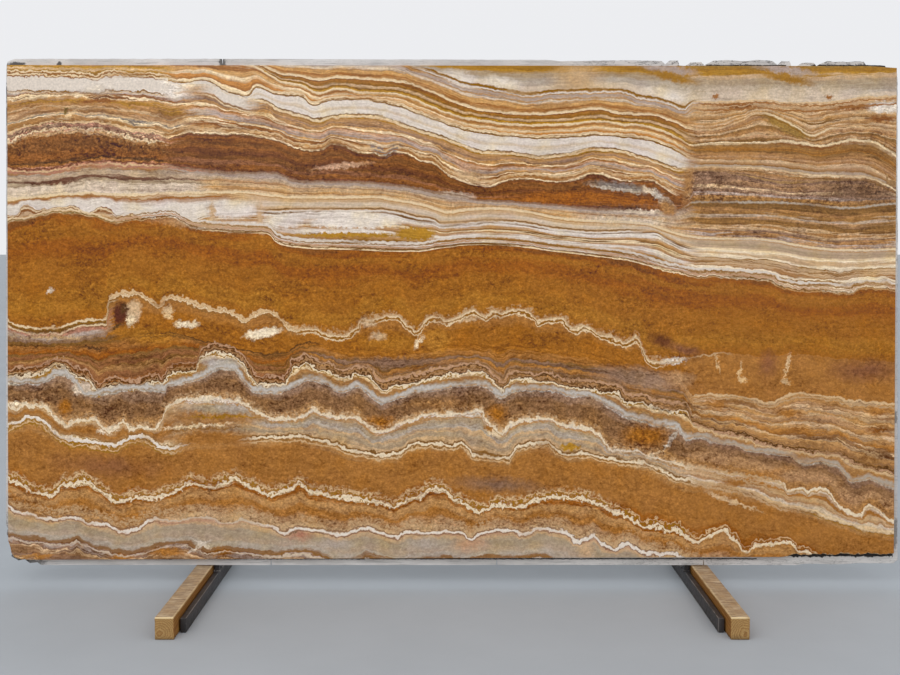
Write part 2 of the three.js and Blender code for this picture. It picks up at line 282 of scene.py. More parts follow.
# The layers of each band from its upper horizon down, as thickness and colour, at the left of the slab, in
# its middle and at its right, then how streaky, how grainy and how flecked the band is, told for its left end
# too where that differs, and the step along the slab where its left end passes into its middle.
BANDS = [
    ("grey cap",
     "5 gold 3 honey 6 putty 5 dove 7 bone 2 sand",
     "5 gold 3 honey 6 putty 5 mist 7 bone 2 sand",
     "4 oldgold 3 gold 3 honey 3 straw 6 putty 6 greygreen 5 mist 4 bone",
     (0.2, 0.12, 0), 165),
    ("peach laminae",
     "3 gold 2 tan 2 ochre 3 tan",
     "1.5 ochre 2 tan 3 lilac 2 bone 1 tan 3 peach 1.5 sienna 3 tan 1 cream",
     "1 rust 1.5 butter 3 fawn 2 sand 1 straw 1.5 cork 3 sand 2 tan 0.8 bark 2 straw 2 tan 1.5 straw 1 "
     "cork 2 sand",
     (0.5, 0.2, 0), 165),
    ("brown gold band",
     "1 rust 6 gold 1 rust",
     "1 rust 3 bronze 1.5 ochre 3 straw 1.5 ochre 2 honey",
     "3 fawn 2 cork 2 straw 2 bark 3 cork 1 sand 2 fawn 2 bark",
     (0.45, 0.3, 0), 165),
    ("tan laminae",
     "3 gold 2 tan 4 honey 2 butter 3 gold 2 tan 2 ochre 2 tan",
     "1.2 cream 1.5 sienna 3 peach 1.2 cream 3 apricot 1 sienna 1.5 cream 0.8 ochre",
     "1.5 cream 4 hazel 2 bronze 1 bark 3 cork 1.5 fawn 2 cork 1 straw",
     (0.5, 0.2, 0), 165),
    ("white band",
     "5 milk 1 bone 4 milk 2 bone",
     "6 milk 1 bone 5 milk",
     "1 straw 3 fawn 1.5 hazel 3 pebble 1.5 straw",
     (0.2, 0.1, 0), 165),
    ("tan and beige laminae",
     "14 milk 1.5 rust 1.5 cream 2 tan 3 gold 2 cork 2 sand 2 cork 1.5 fawn 2.5 sand 1 ash 1.5 cream 2.5 "
     "cork 1.5 hazel 1.5 butter",
     "1.5 cream 1 tan 1.5 gold 2 fawn 1.2 mauve 2 tan 1 cream 1 sienna 2 blush 2 lilac 1.5 tan 1.2 cream "
     "1.5 rust 2 tan 1 sand 1.5 cream",
     "2 fawn 1 straw 2 cork 2 fawn 1 dusk 2 drab",
     (0.6, 0.3, 0), 185),
    ("umber band",
     "3 rose 1 mauve 1.2 butter 3 rose 1.5 sand 1.5 rust 16 umber 7 rust 2 cocoa 2 sienna 3 rose",
     "1.5 maroon 2 rust 4 umber 2 rust 4 mahogany 3 umber 3 brick 3 rust 1.5 maroon",
     "3 dusk 1 fawn 3 taupe 1 dusk 2 straw 3 dusk 1 lilac 2 cork 3 hazel",
     (0.35, 1.0, 0.15, 0.6, 0.55, 0.2), 168),
    ("beige band",
     "2 rose 1 cork 3 pebble 3 beige 1.2 plum 3 putty 3 bone 5 bone",
     "1.5 mauve 2 lilac 2 beige 1 fawn 3 sand 1 tan 2 straw",
     "5 bark 2 cork 3 hazel 1.4 pebble 1 fawn 3 bark 2 hazel 1 straw 2 cork 0.7 straw 2 dusk 2 cork 1.2 "
     "lilac 2 fawn",
     (0.5, 0.3, 0), 200),
    ("pale band",
     "2 cream 1.5 sienna 10 milk",
     "1.5 cream 4 straw 4 bone 3 straw 1 tan",
     "2 bone 4 beige 2 putty 3 beige 1.5 cream",
     (0.25, 0.12, 0), 230),
    ("white ribbons",
     "1 rust 2 cream 1.5 rust 3 straw 1.5 tan 1 cream 2 cork",
     "1 wood 4 milk 2 tan 1 wood 1.5 cream 2 fawn 3.5 milk 2 tan 2 ochre 3 milk 1.5 wood 1 cream",
     "2 chalk 4 straw 2 chalk 1 ochre 3 straw 1 hazel 3 straw 1.5 cork 3 chalk 1 ochre 3 straw 1.5 ochre "
     "2 chalk 2 tan",
     (0.35, 0.12, 0), 165),
    ("wide amber band",
     "1 rust 3 copper 12 amber 12 copper 30 amber 12 ambergold 8 amber",
     "",
     "",
     (0.16, 0.44, 0.5), 165),
    ("upper brown amber",
     "1 ochre 3 bark 4 rose 4 lilac 3 mauve 3 bark",
     "10 softamber 10 amber 10 amber",
     "10 softamber 10 softamber 10 softamber",
     (0.2, 0.45, 0.4), 106),
    ("lower brown amber",
     "1 wood 5 sienna 3 copper 1 bark 4 smoke 1 wood 2 cork 4 smoke 3 rust",
     "5 amber 3 softamber 1 sienna 1 bark 2 dusk 1 bark 2 softamber 2 taupe 1 wood 2.5 fawn 1.5 cork",
     "1 sand 2.5 tan 1 cork 2 fawn 0.8 straw 3 tan 0.8 sand 2 fawn 1.5 cork 1 straw 2 tan 2.5 softamber "
     "1 taupe 0.8 sand 3 tan 2 cork",
     (0.6, 0.4, 0.3), 300),
    ("wave lines",
     "1 cocoa 2 butter 1 cocoa 1.5 sand 3 gold 3 drab",
     "1 wood 1 fawn 1 cocoa 1.5 cream 2.5 cork 2 drab 2 tan",
     "1.2 wood 3 fawn 1 wood 2.5 straw 2 tan 5 cork 3 tan",
     (0.35, 0.35, 0), 165),
    ("speckled brown band",
     "1 dove 3 mauve 22 speckle 3 tan",
     "",
     "0.6 mist 3 dusk 5 taupe 7 fawn 5 cork",
     (0.25, 0.8, 0.6), 165),
    ("crinkled cream band",
     "2.5 cream 2 sand 6 softamber 4 cork 2 cream",
     "2.5 milk 1 tan 3 putty 3 mist 3 sand 3 putty 3 sand 1.5 hazel",
     "2 butter 3 bone 4 softamber 4 sand 2 fawn 4 bone 2 butter",
     (0.25, 0.35, 0), 172),
    ("second amber band",
     "1.5 straw 1 hazel 2 tan 24 softamber 20 softamber 7 copper",
     "",
     "",
     (0.16, 0.4, 0.4), 165),
    ("grainy amber band",
     "2 cream 3 copper 8 tan 8 softamber 5 cork 3 tan",
     "2 cream 2 copper 8 tan 6 softamber 6 fawn 4 sand",
     "2 cream 2 cork 8 tan 5 softamber 7 fawn 5 sand",
     (0.25, 0.55, 0.4), 165),
    ("grey green band",
     "1.5 bone 2 blush 2 straw 8 greygreen 5 sage 4 mist 3 taupe",
     "",
     "",
     (0.14, 0.2, 0), 165),
    ("foot laminae",
     "1 dusk 3 lilac 3 dusk 1.5 straw 4 taupe 2 dusk 3 mauve 2 cork 1.5 sand 3 dusk 2 taupe 3 taupe 3 "
     "smoke 41 cork",
     "",
     "",
     (0.6, 0.35, 0), 165),
]

# Thin lines that follow a horizon: the stretch of grid steps where they show, how ragged they are, how soft
# their edges are, and then for each line its distance below the horizon, its width and its colour.
LINES = [
    ("grey_cap", (420, 695), 0.5, 0.6, "-1.5 2 ochre 1 1.4 milk 4 1.6 lilac 7 1 tan"),
    ("grey_cap", (695, 900), 0.7, 0.6, "0 1.2 butter 2.4 1.2 sienna 5 0.8 sand 8 1.5 sienna"),
    ("gold_top", (255, 680), 0.7, 0.6, "-1.5 1.4 cream -4 1 sienna -6 1 butter"),
    ("gold_bottom", (255, 680), 0.4, 0.6, "1.4 1.2 cream 4 1 sienna 8 1 butter"),
    ("gold_top", (755, 830), 0.5, 0.6, "-1.5 1.5 cream 1 1 ochre"),
    ("gold_bottom", (780, 900), 0.8, 0.6, "0 1.6 cream 3 2 rust"),
    ("white_top", (0, 165), 1.0, 0.5, "-5 1.2 cream -3.6 0.8 rust -1.8 1.3 cream -0.2 0.8 rust"),
    ("white_top", (190, 244), 0.6, 0.5, "-2.4 1.2 cream -0.8 0.8 wood"),
    ("white_top", (260, 684), 0.5, 0.5, "-3.4 1.2 cream -1 0.9 wood"),
    ("white_bottom", (0, 170), 0.7, 0.6, "6.2 12.2 milk 13.1 2 ochre 14.8 1 butter"),
    ("white_bottom", (198, 254), 0.6, 0.8, "5 8.6 milk 10 1.1 wood 12 1.2 cream"),
    ("white_bottom", (256, 684), 0.6, 0.5, "0.4 1.1 wood 2.8 1.2 cream 6 1 tan"),
    ("white_bottom", (740, 900), 0.6, 0.5, "0 1.2 cream 3 1 wood"),
    ("umber_top", (0, 165), 3.2, 2.2, "9 5 tan"),
    ("umber_top", (0, 165), 2.3, 0.5, "-1.4 1.3 butter 1.6 1.1 mauve 4 1 plum 6.4 1.5 cream"),
    ("umber_top", (165, 670), 1.0, 0.6, "-6 1.2 butter -3 1 sienna 0 1 umber"),
    ("umber_bottom", (0, 165), 1.0, 0.6, "-2 1.2 maroon 0.6 1.2 butter 3 1.4 rose"),
    ("umber_bottom", (165, 620), 0.8, 0.8, "0 1 mauve 3 1.4 lilac"),
    ("umber_bottom", (695, 900), 0.7, 0.8, "0 1.4 mist 2.4 1 wood"),
    ("cream_ribbon", (0, 900), 0.4, 0.6, "0 1.4 cream 2 0.9 tan"),
    ("white_ribbon", (260, 640), 0.4, 0.6, "-2.4 1 wood -0.4 1.6 milk"),
    ("amber_top", (115, 900), 0.8, 0.6, "-9 2 milk -6.6 1 hazel -4.2 1.5 blush -2 0.9 wood"),
    ("amber_top", (0, 115), 0.7, 0.6, "-4 1.4 cream -2 1 olive"),
    ("amber_bottom", (0, 110), 0.9, 0.6, "-1 1.8 cream 1.2 0.8 ochre 4.6 1.3 cream"),
    ("amber_bottom", (106, 300), 2.5, 0.8, "-2 2.8 butter"),
    ("amber_bottom", (106, 300), 1.5, 0.5, "0.6 1.1 cream 2.4 0.8 hazel"),
    ("amber_bottom", (300, 665), 3.2, 2.2, "-3.2 3 straw"),
    ("amber_bottom", (300, 665), 1.3, 0.8, "-1.4 2.2 straw"),
    ("amber_bottom", (300, 665), 1.1, 0.5, "-0.4 1.3 cream 1.6 0.9 ochre 3.4 1.1 cream"),
    ("amber_bottom", (665, 722), 1.2, 0.6, "1 1.2 sand"),
    ("lilac_brown", (140, 320), 1.0, 0.6, "0 1 cocoa 3 0.8 wood"),
    ("lilac_brown", (694, 900), 0.8, 0.6, "0.4 1.6 butter 4 0.9 sand"),
    ("wave_top", (0, 690), 2.4, 0.8, "-4 1.8 blush"),
    ("wave_top", (0, 690), 2.2, 0.5, "-1.8 0.9 cocoa 0.4 1 fawn 2.3 1.2 cocoa 4.3 1.7 chalk 6.2 1.3 gold"),
    ("wave_top", (690, 900), 1.9, 0.5, "-1.4 1 taupe 1.4 1.1 cocoa 3.6 1.1 blush 6 1.2 butter"),
    ("grey_ribbon", (0, 690), 1.2, 1.6, "-3 4.7 dove"),
    ("grey_ribbon", (0, 690), 1.7, 1.1, "-3 1.8 slate"),
    ("grey_ribbon", (690, 900), 1.0, 1.9, "-2.5 3.2 mist"),
    ("crinkle_top", (0, 690), 2.0, 0.5, "0.4 3 chalk 3.4 1 tan"),
    ("crinkle_top", (0, 690), 3.0, 2.2, "-2.8 3.4 straw"),
    ("crinkle_top", (700, 780), 2.4, 1.6, "0.6 2 sand 5 1.4 sand"),
    ("crinkle_top", (780, 900), 1.2, 0.5, "0.6 2.4 chalk 3.4 1 tan"),
    ("crinkle_bottom", (0, 176), 1.4, 0.5, "-2.5 0.9 hazel 0 3.2 snow 2.8 1.4 gold 5 1 butter 7 1.2 gold"),
    ("crinkle_bottom", (248, 690), 1.2, 0.5, "-2.2 0.9 wood 0 2.6 chalk 2.4 0.9 hazel 4.4 1.1 butter"),
    ("crinkle_bottom", (800, 900), 1.0, 0.6, "0 2.2 cream 3 0.9 gold"),
    ("crinkle_bottom", (690, 800), 1.6, 1.4, "0 1.4 sand 4 1 straw"),
    ("grain_line", (0, 620), 3.4, 2.6, "-5.5 6 sand"),
    ("grain_line", (0, 690), 3.6, 0.6, "-5.8 1.3 butter -3 1.6 gold"),
    ("grain_line", (0, 690), 3.0, 0.5, "0.4 2.8 chalk 2.8 0.8 hazel"),
    ("grain_line", (690, 900), 1.6, 0.5, "-3.6 1.3 butter -1.6 0.8 hazel 0.6 2.8 chalk"),
    ("white_line", (0, 900), 2.6, 2.6, "-7 8 sand"),
    ("white_line", (0, 160), 0.6, 0.5, "-1.4 0.9 dusk 0.8 2.5 snow 3 1.2 dusk"),
    ("white_line", (160, 262), 0.8, 0.9, "0.8 1.2 bone"),
    ("white_line", (262, 900), 0.6, 0.5, "-1.4 0.9 dusk 0.8 2.5 snow 3 1.2 dusk"),
    ("white_line", (566, 700), 1.4, 0.6, "0.8 3.2 snow"),
    ("brown_line", (0, 262), 0.7, 0.8, "-1.6 1.6 taupe 0.2 1 umber 2.2 1 bone"),
    ("brown_line", (262, 900), 0.7, 0.8, "0.2 1.1 hazel 2.8 2.4 bone"),
]

# Single spots and lenses: centre, half length and half height in grid steps, turn in degrees, colour, and
# how soft the edge is.
SPOTS = [
    ("grey arc", 668, 69, 26, 4, -8, "lilac", 0.8),
    ("grey arc two", 786, 70, 28, 4, -8, "lilac", 0.8),
    ("gold arc", 672, 77, 24, 4, -12, "gold", 0.8),
    ("gold arc two", 786, 78, 24, 4, -12, "gold", 0.8),
    ("peach haze", 577, 80, 18, 14, 0, "sand", 1.6),
    ("pale cloud", 462, 80, 16, 7, -18, "milk", 1.0),
    ("pale cloud two", 502, 84, 16, 6, -8, "milk", 1.0),
    ("pale cloud three", 670, 95, 22, 6, -8, "milk", 1.4),
    ("pale cloud four", 740, 94, 40, 6, 0, "bone", 1.6),
    ("pale cloud five", 815, 94, 40, 6, 0, "bone", 1.6),
    ("gold blob", 488, 88, 18, 2.4, -8, "ochre", 0.6),
    ("white block", 884, 107, 17, 6, 0, "milk", 0.4),
    ("brown spot", 716, 97, 3.2, 2.2, 0, "sienna", 0.8),
    ("brown spot two", 829, 97, 3.2, 2.2, 0, "sienna", 0.8),
    ("rusty lens", 738, 106, 22, 2.4, 0, "rust", 0.8),
    ("rusty lens two", 850, 107, 20, 2.4, 0, "rust", 0.8),
    ("rusty lens three", 882, 119, 14, 3, 0, "rust", 0.8),
    ("olive lens", 787, 127, 25, 5.5, -26, "oldgold", 0.5),
    ("speckled lens", 862, 192, 40, 9, -4, "plumbrown", 1.2),
    ("speckled lens two", 712, 178, 26, 5, 0, "dusk", 0.9),
    ("slate fold", 378, 150, 10, 3, -30, "ash", 0.8),
    ("slate fold two", 392, 151, 10, 3, 30, "ash", 0.8),
    ("lilac lens", 342, 166, 26, 2.6, 6, "blush", 0.8),
    ("amber lens", 570, 198, 60, 6, 0, "copper", 0.7),
    ("slate streak", 622, 187, 30, 4.2, -8, "ash", 0.8),
    ("pale streak", 616, 189, 26, 1.5, -8, "mist", 0.6),
    ("white flecks", 655, 194, 13, 2.8, -32, "bone", 0.6),
    ("amber streak", 628, 201, 36, 3.8, -2, "copper", 0.6),
    ("dark flecks", 620, 208, 30, 1.8, -2, "plum", 0.8),
    ("pale flecks", 632, 212, 30, 2.2, 0, "bone", 0.6),
    ("grey fold", 664, 200, 12, 3.6, -38, "dove", 0.8),
    ("pale pool", 628, 221, 44, 4, -3, "bone", 0.8),
    ("tan fold", 668, 208, 10, 6, -50, "cork", 0.8),
    ("rusty fold", 682, 199, 9, 5, -45, "rust", 1.0),
    ("drab join", 688, 184, 4.5, 17, -8, "cork", 1.1),
    ("brown lamina", 98, 101, 20, 1.8, 2, "rust", 0.6),
    ("small swirl", 71, 114, 8, 2.2, 35, "butter", 0.6),
    ("swirl shadow", 66, 110, 4, 2.4, 60, "olive", 0.6),
    ("tan lamina", 226, 226, 50, 4, -4, "straw", 1.4),
    ("white area", 232, 210, 26, 8, 0, "milk", 0.6),
    ("white area two", 284, 221, 20, 7, 0, "milk", 0.5),
    ("tan stain", 212, 212, 3, 9, 0, "straw", 1.0),
    ("tan stain two", 260, 214, 3, 11, 0, "straw", 1.0),
    ("tan lens", 350, 235, 54, 2.2, 0, "honey", 0.5),
    ("rosy curl", 462, 166, 14, 3, -40, "blush", 0.7),
    ("rosy curl two", 470, 175, 16, 3, -10, "straw", 0.7),
    ("grey pocket", 456, 196, 18, 4, -6, "pebble", 0.6),
    ("small white spot", 50, 290, 4, 2.4, 20, "bone", 0.6),
    ("chalk hook", 718, 364, 8, 1.1, -75, "butter", 0.7),
    ("chalk hook two", 741, 371, 9, 1.1, 80, "butter", 0.7),
    ("hook foot", 743, 380, 3.5, 2.6, 0, "butter", 0.7),
    ("chalk hook three", 787, 367, 13, 1.3, 76, "butter", 0.7),
    ("hook foot two", 785, 382, 4, 3, 0, "butter", 0.7),
    ("grey vein", 671, 440, 12, 2, 54, "mist", 0.6),
    ("grey vein foot", 656, 453, 10, 1.8, 18, "straw", 0.6),
    ("sand cloud", 690, 468, 22, 4, -8, "sand", 1.2),
    ("sand streak", 722, 497, 16, 2, -22, "straw", 0.8),
    ("sand streak two", 740, 505, 20, 1.6, -18, "butter", 0.8),
    ("white curl", 495, 433, 9, 3.4, -18, "cream", 0.5),
    ("amber fold", 380, 423, 15, 6, 0, "amber", 1.2),
    ("amber fold two", 497, 414, 9, 8, 0, "amber", 1.2),
    ("amber fold three", 440, 404, 24, 3, 0, "cork", 1.2),
    ("curl shadow", 489, 428, 4, 3, 0, "softamber", 0.6),
    ("gold box", 571, 447, 10, 3, 0, "honey", 0.5),
    ("chalk crumbs", 582, 329, 10, 2.6, -6, "cream", 0.6),
    ("chalk crest", 368, 323, 7, 4, 0, "straw", 0.7),
    ("chalk crest two", 462, 320, 22, 2.6, 6, "straw", 0.8),
    ("dark grains", 92, 348, 16, 1.8, -4, "cocoa", 0.8),
    ("rose streak", 50, 337, 34, 1.6, 0, "sand", 1.0),
    ("purple streaks", 400, 362, 46, 4, 0, "dusk", 0.9),
    ("brown lens", 60, 182, 18, 2, 6, "plum", 0.6),
    ("white lens", 355, 222, 48, 6.5, 0, "milk", 0.3),
    ("honey pool", 415, 234, 20, 6.5, 0, "honey", 0.3),
    ("vug lining", 133, 312, 8, 11, -16, "straw", 0.4),
    ("vug", 121, 314, 7, 11, -12, "oxblood", 0.6),
    ("vug depth", 124, 309, 3.4, 6, -24, "cocoa", 0.7),
    ("vug teeth", 131, 320, 4, 6, -16, "cream", 0.5),
    ("vug foot", 117, 327, 4, 2, 20, "coffee", 0.5),
    ("golden pool", 150, 336, 30, 8, -6, "ambergold", 1.0),
    ("chalky nest", 187, 324, 12, 3.4, 0, "chalk", 0.5),
    ("chalky nest two", 168, 312, 5, 7, 0, "butter", 0.5),
    ("long chalky nest", 262, 333, 18, 4.6, 10, "chalk", 0.45),
    ("honey pool two", 436, 341, 13, 11, 0, "marigold", 0.7),
    ("gold nest", 388, 342, 28, 8, 0, "ambergold", 1.2),
    ("crumbs in the nest", 378, 336, 8, 4, 0, "straw", 0.8),
    ("chalk tail", 419, 342, 7, 2.4, 50, "cream", 0.7),
    ("purple blotch", 662, 341, 12, 6, -12, "mahogany", 1.0),
    ("purple shadow", 686, 350, 14, 4.5, -12, "brick", 1.2),
    ("taupe field", 640, 378, 40, 9, -8, "mauve", 0.9),
    ("beige field", 680, 378, 14, 6, 0, "fawn", 0.9),
    ("chalk vein", 673, 361, 14, 2.6, 4, "milk", 0.5),
    ("smoky cloud", 768, 363, 8, 10, 0, "brick", 1.4),
    ("smoky cloud two", 864, 371, 26, 9, 0, "brick", 1.3),
    ("amber patch", 717, 404, 10, 5, 0, "softamber", 1.0),
    ("amber patch two", 788, 413, 13, 4, -8, "softamber", 1.0),
    ("amber patch three", 878, 411, 10, 4, 0, "softamber", 1.0),
    ("rusty patch", 880, 430, 12, 2.4, 0, "rust", 1.0),
    ("amber eye", 645, 436, 20, 10, 0, "amber", 0.9),
    ("amber eye at left", 65, 407, 6, 7, 0, "amber", 0.9),
    ("grey crest", 222, 363, 18, 6, -2, "dove", 0.7),
    ("white bulb", 84, 388, 11, 6, 0, "bone", 0.6),
    ("tan bridge", 212, 418, 48, 9, 0, "cork", 0.6),
    ("straw over the lens", 190, 406, 24, 3, -4, "straw", 0.6),
    ("grey lens", 222, 409, 34, 5, -2, "greygreen", 0.7),
    ("pale heart of the lens", 232, 408, 20, 2.4, -3, "mist", 0.8),
    ("gold under the lens", 224, 417, 38, 1.4, 1, "gold", 0.6),
    ("cream under the lens", 196, 426, 36, 1.3, 5, "cream", 0.5),
    ("gold below that", 208, 429, 40, 1, 3, "hazel", 0.5),
    ("amber below the lens", 212, 438, 40, 8, 0, "softamber", 0.8),
    ("chalk bulb", 20, 404, 12, 2.6, 0, "chalk", 0.4),
    ("chalk bulb two", 108, 430, 11, 3.6, 12, "chalk", 0.4),
    ("chalk bulb three", 46, 408, 8, 2.6, -50, "cream", 0.4),
    ("amber gap", 745, 480, 34, 4, 14, "softamber", 1.2),
    ("white cross", 200, 546, 12, 1.6, 28, "milk", 0.6),
    ("white cross two", 203, 545, 12, 1.6, -24, "milk", 0.6),
    ("foot amber", 42, 556, 10, 2.2, 0, "softamber", 0.8),
    ("foot amber two", 122, 557, 13, 3, 0, "softamber", 0.8),
    ("foot amber three", 168, 552, 18, 4, 0, "softamber", 0.9),
    ("foot amber four", 222, 552, 10, 5, 0, "softamber", 0.9),
    ("pink stain", 470, 544, 14, 5, 0, "blush", 1.4),
    ("pink stain two", 300, 535, 10, 4, 0, "rose", 1.6),
    ("gold stain", 586, 550, 8, 7, 20, "straw", 1.0),
    ("white fill", 335, 545, 18, 4, 0, "mist", 1.4),
    ("white fill two", 425, 544, 20, 5, 0, "mist", 1.4),
    ("dark cloud", 500, 485, 34, 6, -4, "dusk", 1.4),
    ("dark cloud two", 110, 466, 44, 8, -4, "smoke", 1.5),
]

# How the bands are drawn from those lists. Lengths are in grid steps.
NAMES = list(HORIZONS)
SHARP_FROM = "amber_bottom"  # from this horizon down, the folds have sharp bends
GRAINY_ABOVE = "white_ribbon"  # above it the slab's right part is grainier than the rest, and below it calmer
BELOW_FOOT = 65  # the lowest band runs on below the slab by this much

# How strong the crinkles are, at steps counted up from the foot of the grid.
CRINKLES = [(0, 0.55), (300, 0.55), (330, 0.4), (345, 0.1), (390, 0.1), (415, 0.275), (520, 0.275),
    (545, 0.175), (600, 0.175)]
CRINKLE_ALONG = 16
CRINKLE_DOWN = 18
RIGHT_JOIN = (682, 697)  # where the middle of the slab passes into its right part
LEFT_JOIN = (-6, 12)  # where the left part passes into the middle, told from each band's own join
SPOT_RAGGED = (16.0, 12.0, 0.0)  # how far the spots' outlines wander, along and up
SPOT_MARGIN = 8
LAYER_BLEND = 0.28  # share of a layer, at either side, over which it blends with its neighbour
LINE_REACH = 16.0  # either way from a line's horizon
LINE_FADE = 8  # at either end of a line
THINNEST = 0.05  # half of what is left solid of a thin line
LEAST_GAP = 0.02  # between the stops of a ramp
HAZE = 2.0  # lines softer than this are a haze of grains
MIDDLE = (0.5, 0.5, 0.5)  # of a coloured noise
TINT_GAIN = 4.0  # makes up for two tints, which each lie about a half
GLOSS_WHITE = 0.014  # taken off the colour, as the gloss adds it

# ---------------------------------------------------------------- materials


def linear(colour):
    """An sRGB hex colour as linear red, green, blue and alpha."""
    parts = [int(colour[i : i + 2], 16) / 255 for i in (0, 2, 4)]
    return [c / 12.92 if c <= 0.04045 else ((c + 0.055) / 1.055) ** 2.4 for c in parts] + [1.0]


def plug(shader_node, inputs):
    """Gives a node's inputs their values, or links them to other nodes' outputs."""
    for name, value in inputs.items():
        if isinstance(value, bpy.types.NodeSocket):
            shader_node.id_data.links.new(value, shader_node.inputs[name])
        else:
            shader_node.inputs[name].default_value = value


def add_node(tree, kind, inputs=None, span=(), stops=None, curve=None, sharp=False, out=0, **settings):
    """Adds one shader node and returns its output. Inputs are values or other nodes' outputs. A span is what
    a range is mapped from and to, stops are the places and colours of a ramp, and curve holds the points of
    a curve, with sharp bends or smooth ones."""
    made = tree.nodes.new("ShaderNode" + kind)
    for name, value in settings.items():
        setattr(made, name, value)
    if stops:
        elements = made.color_ramp.elements
        while len(elements) < len(stops):
            elements.new(1.0)
        for element, (place, colour) in zip(elements, stops):
            element.position = place
            element.color = colour
    if curve:
        line = made.mapping.curves[0]
        line.points[0].location = curve[0]
        line.points[1].location = curve[-1]
        for place in curve[1:-1]:
            line.points.new(*place)
        for point in line.points:
            point.handle_type = "VECTOR" if sharp else "AUTO_CLAMPED"
        made.mapping.update()
    plug(made, {**(inputs or {}), **dict(zip(("From Min", "From Max", "To Min", "To Max"), span))})
    return made.outputs[out]


def new_material(name):
    """A new material, the function that adds nodes to it, and its shader."""
    material = bpy.data.materials.new(name)
    material.use_nodes = True
    tree = material.node_tree
    return material, functools.partial(add_node, tree), tree.nodes["Principled BSDF"]


def slab_place(add):
    """Where a point is on the leaning slab: as one place, then along it, behind its face and up its slope."""
    place = add("TexCoord", out=3)
    flat = add("Mapping", {"Vector": place, "Location": FACE_FOOT, "Rotation": (-LEAN, 0, 0)},
               vector_type="TEXTURE")
    return flat, *add("SeparateXYZ", {0: flat}).node.outputs


def stretched_noise(add, place, scale, **settings):
    """Noise whose grains are stretched, with a scale for each axis."""
    spread = add("Mapping", {"Vector": place, "Scale": scale})
    return add("TexNoise", {"Vector": spread, "Scale": 1.0, **settings})


def layer_stops(layers):
    """Ramp stops for layers told as thickness and colour, with edges a little blurred."""
    words = layers.split()
    widths = [float(w) for w in words[::2]]
    total = sum(widths)
    stops = []
    start = 0.0
    for width, colour in zip(widths, words[1::2]):
        share = width / total
        stops.append((start + LAYER_BLEND * share, linear(STONE[colour])))
        stops.append((start + (1 - LAYER_BLEND) * share, linear(STONE[colour])))
        start += share
    return stops


def line_stops(lines, soft):
    """Ramp stops for thin lines: clear between them, and solid inside each."""
    words = lines.split()
    edges = []
    for offset, width, colour in zip(words[::3], words[1::3], words[2::3]):
        middle, half = float(offset), float(width) / 2
        solid = linear(STONE[colour])
        clear = solid[:3] + [0.0]
        inside = min(half - THINNEST, soft * 0.5)
        edges += [(middle - half - soft, clear), (middle - half + inside, solid),
                  (middle + half - inside, solid), (middle + half + soft, clear)]
    stops = []
    last = -LINE_REACH
    for place, colour in edges:
        last = max(place, last + LEAST_GAP)
        stops.append(((last + LINE_REACH) / (2 * LINE_REACH), colour))
    return stops


def grid_curve(points):
    """The points of a line on the slab's grid, as a curve over 0 to 1."""
    points = [(0, points[0][1])] * (points[0][0] > 0) + points
    points = points + [(GRID_WIDTH, points[-1][1])] * (points[-1][0] < GRID_WIDTH)
    return [(x / GRID_WIDTH, 1 - y / GRID_HEIGHT) for x, y in points]


def horizon_height(name, x):
    """The step down at which a horizon crosses the step x along the slab."""
    points = HORIZONS[name]
    for (x0, y0), (x1, y1) in zip(points, points[1:]):
        if x0 <= x <= x1 and x1 > x0:
            return y0 + (y1 - y0) * (x - x0) / (x1 - x0)
    return points[0][1] if x < points[0][0] else points[-1][1]


def spots_near(number):
    """The spots and lenses that may reach into a band."""
    found = []
    for spot in SPOTS:
        _, x, y, long, high = spot[:5]
        high = high * 1.5 + 6 + long * abs(math.sin(math.radians(spot[5])))
        along = [x + long * i / 2 for i in range(-3, 4)]
        top = FACE_TOP
        foot = GRID_BOTTOM
        if number > 0:
            top = min(horizon_height(NAMES[number - 1], x) for x in along)
        if number < len(BANDS) - 1:
            foot = max(horizon_height(NAMES[number], x) for x in along)
        if y + high > top - SPOT_MARGIN and y - high < foot + SPOT_MARGIN:
            found.append(spot)
    return found


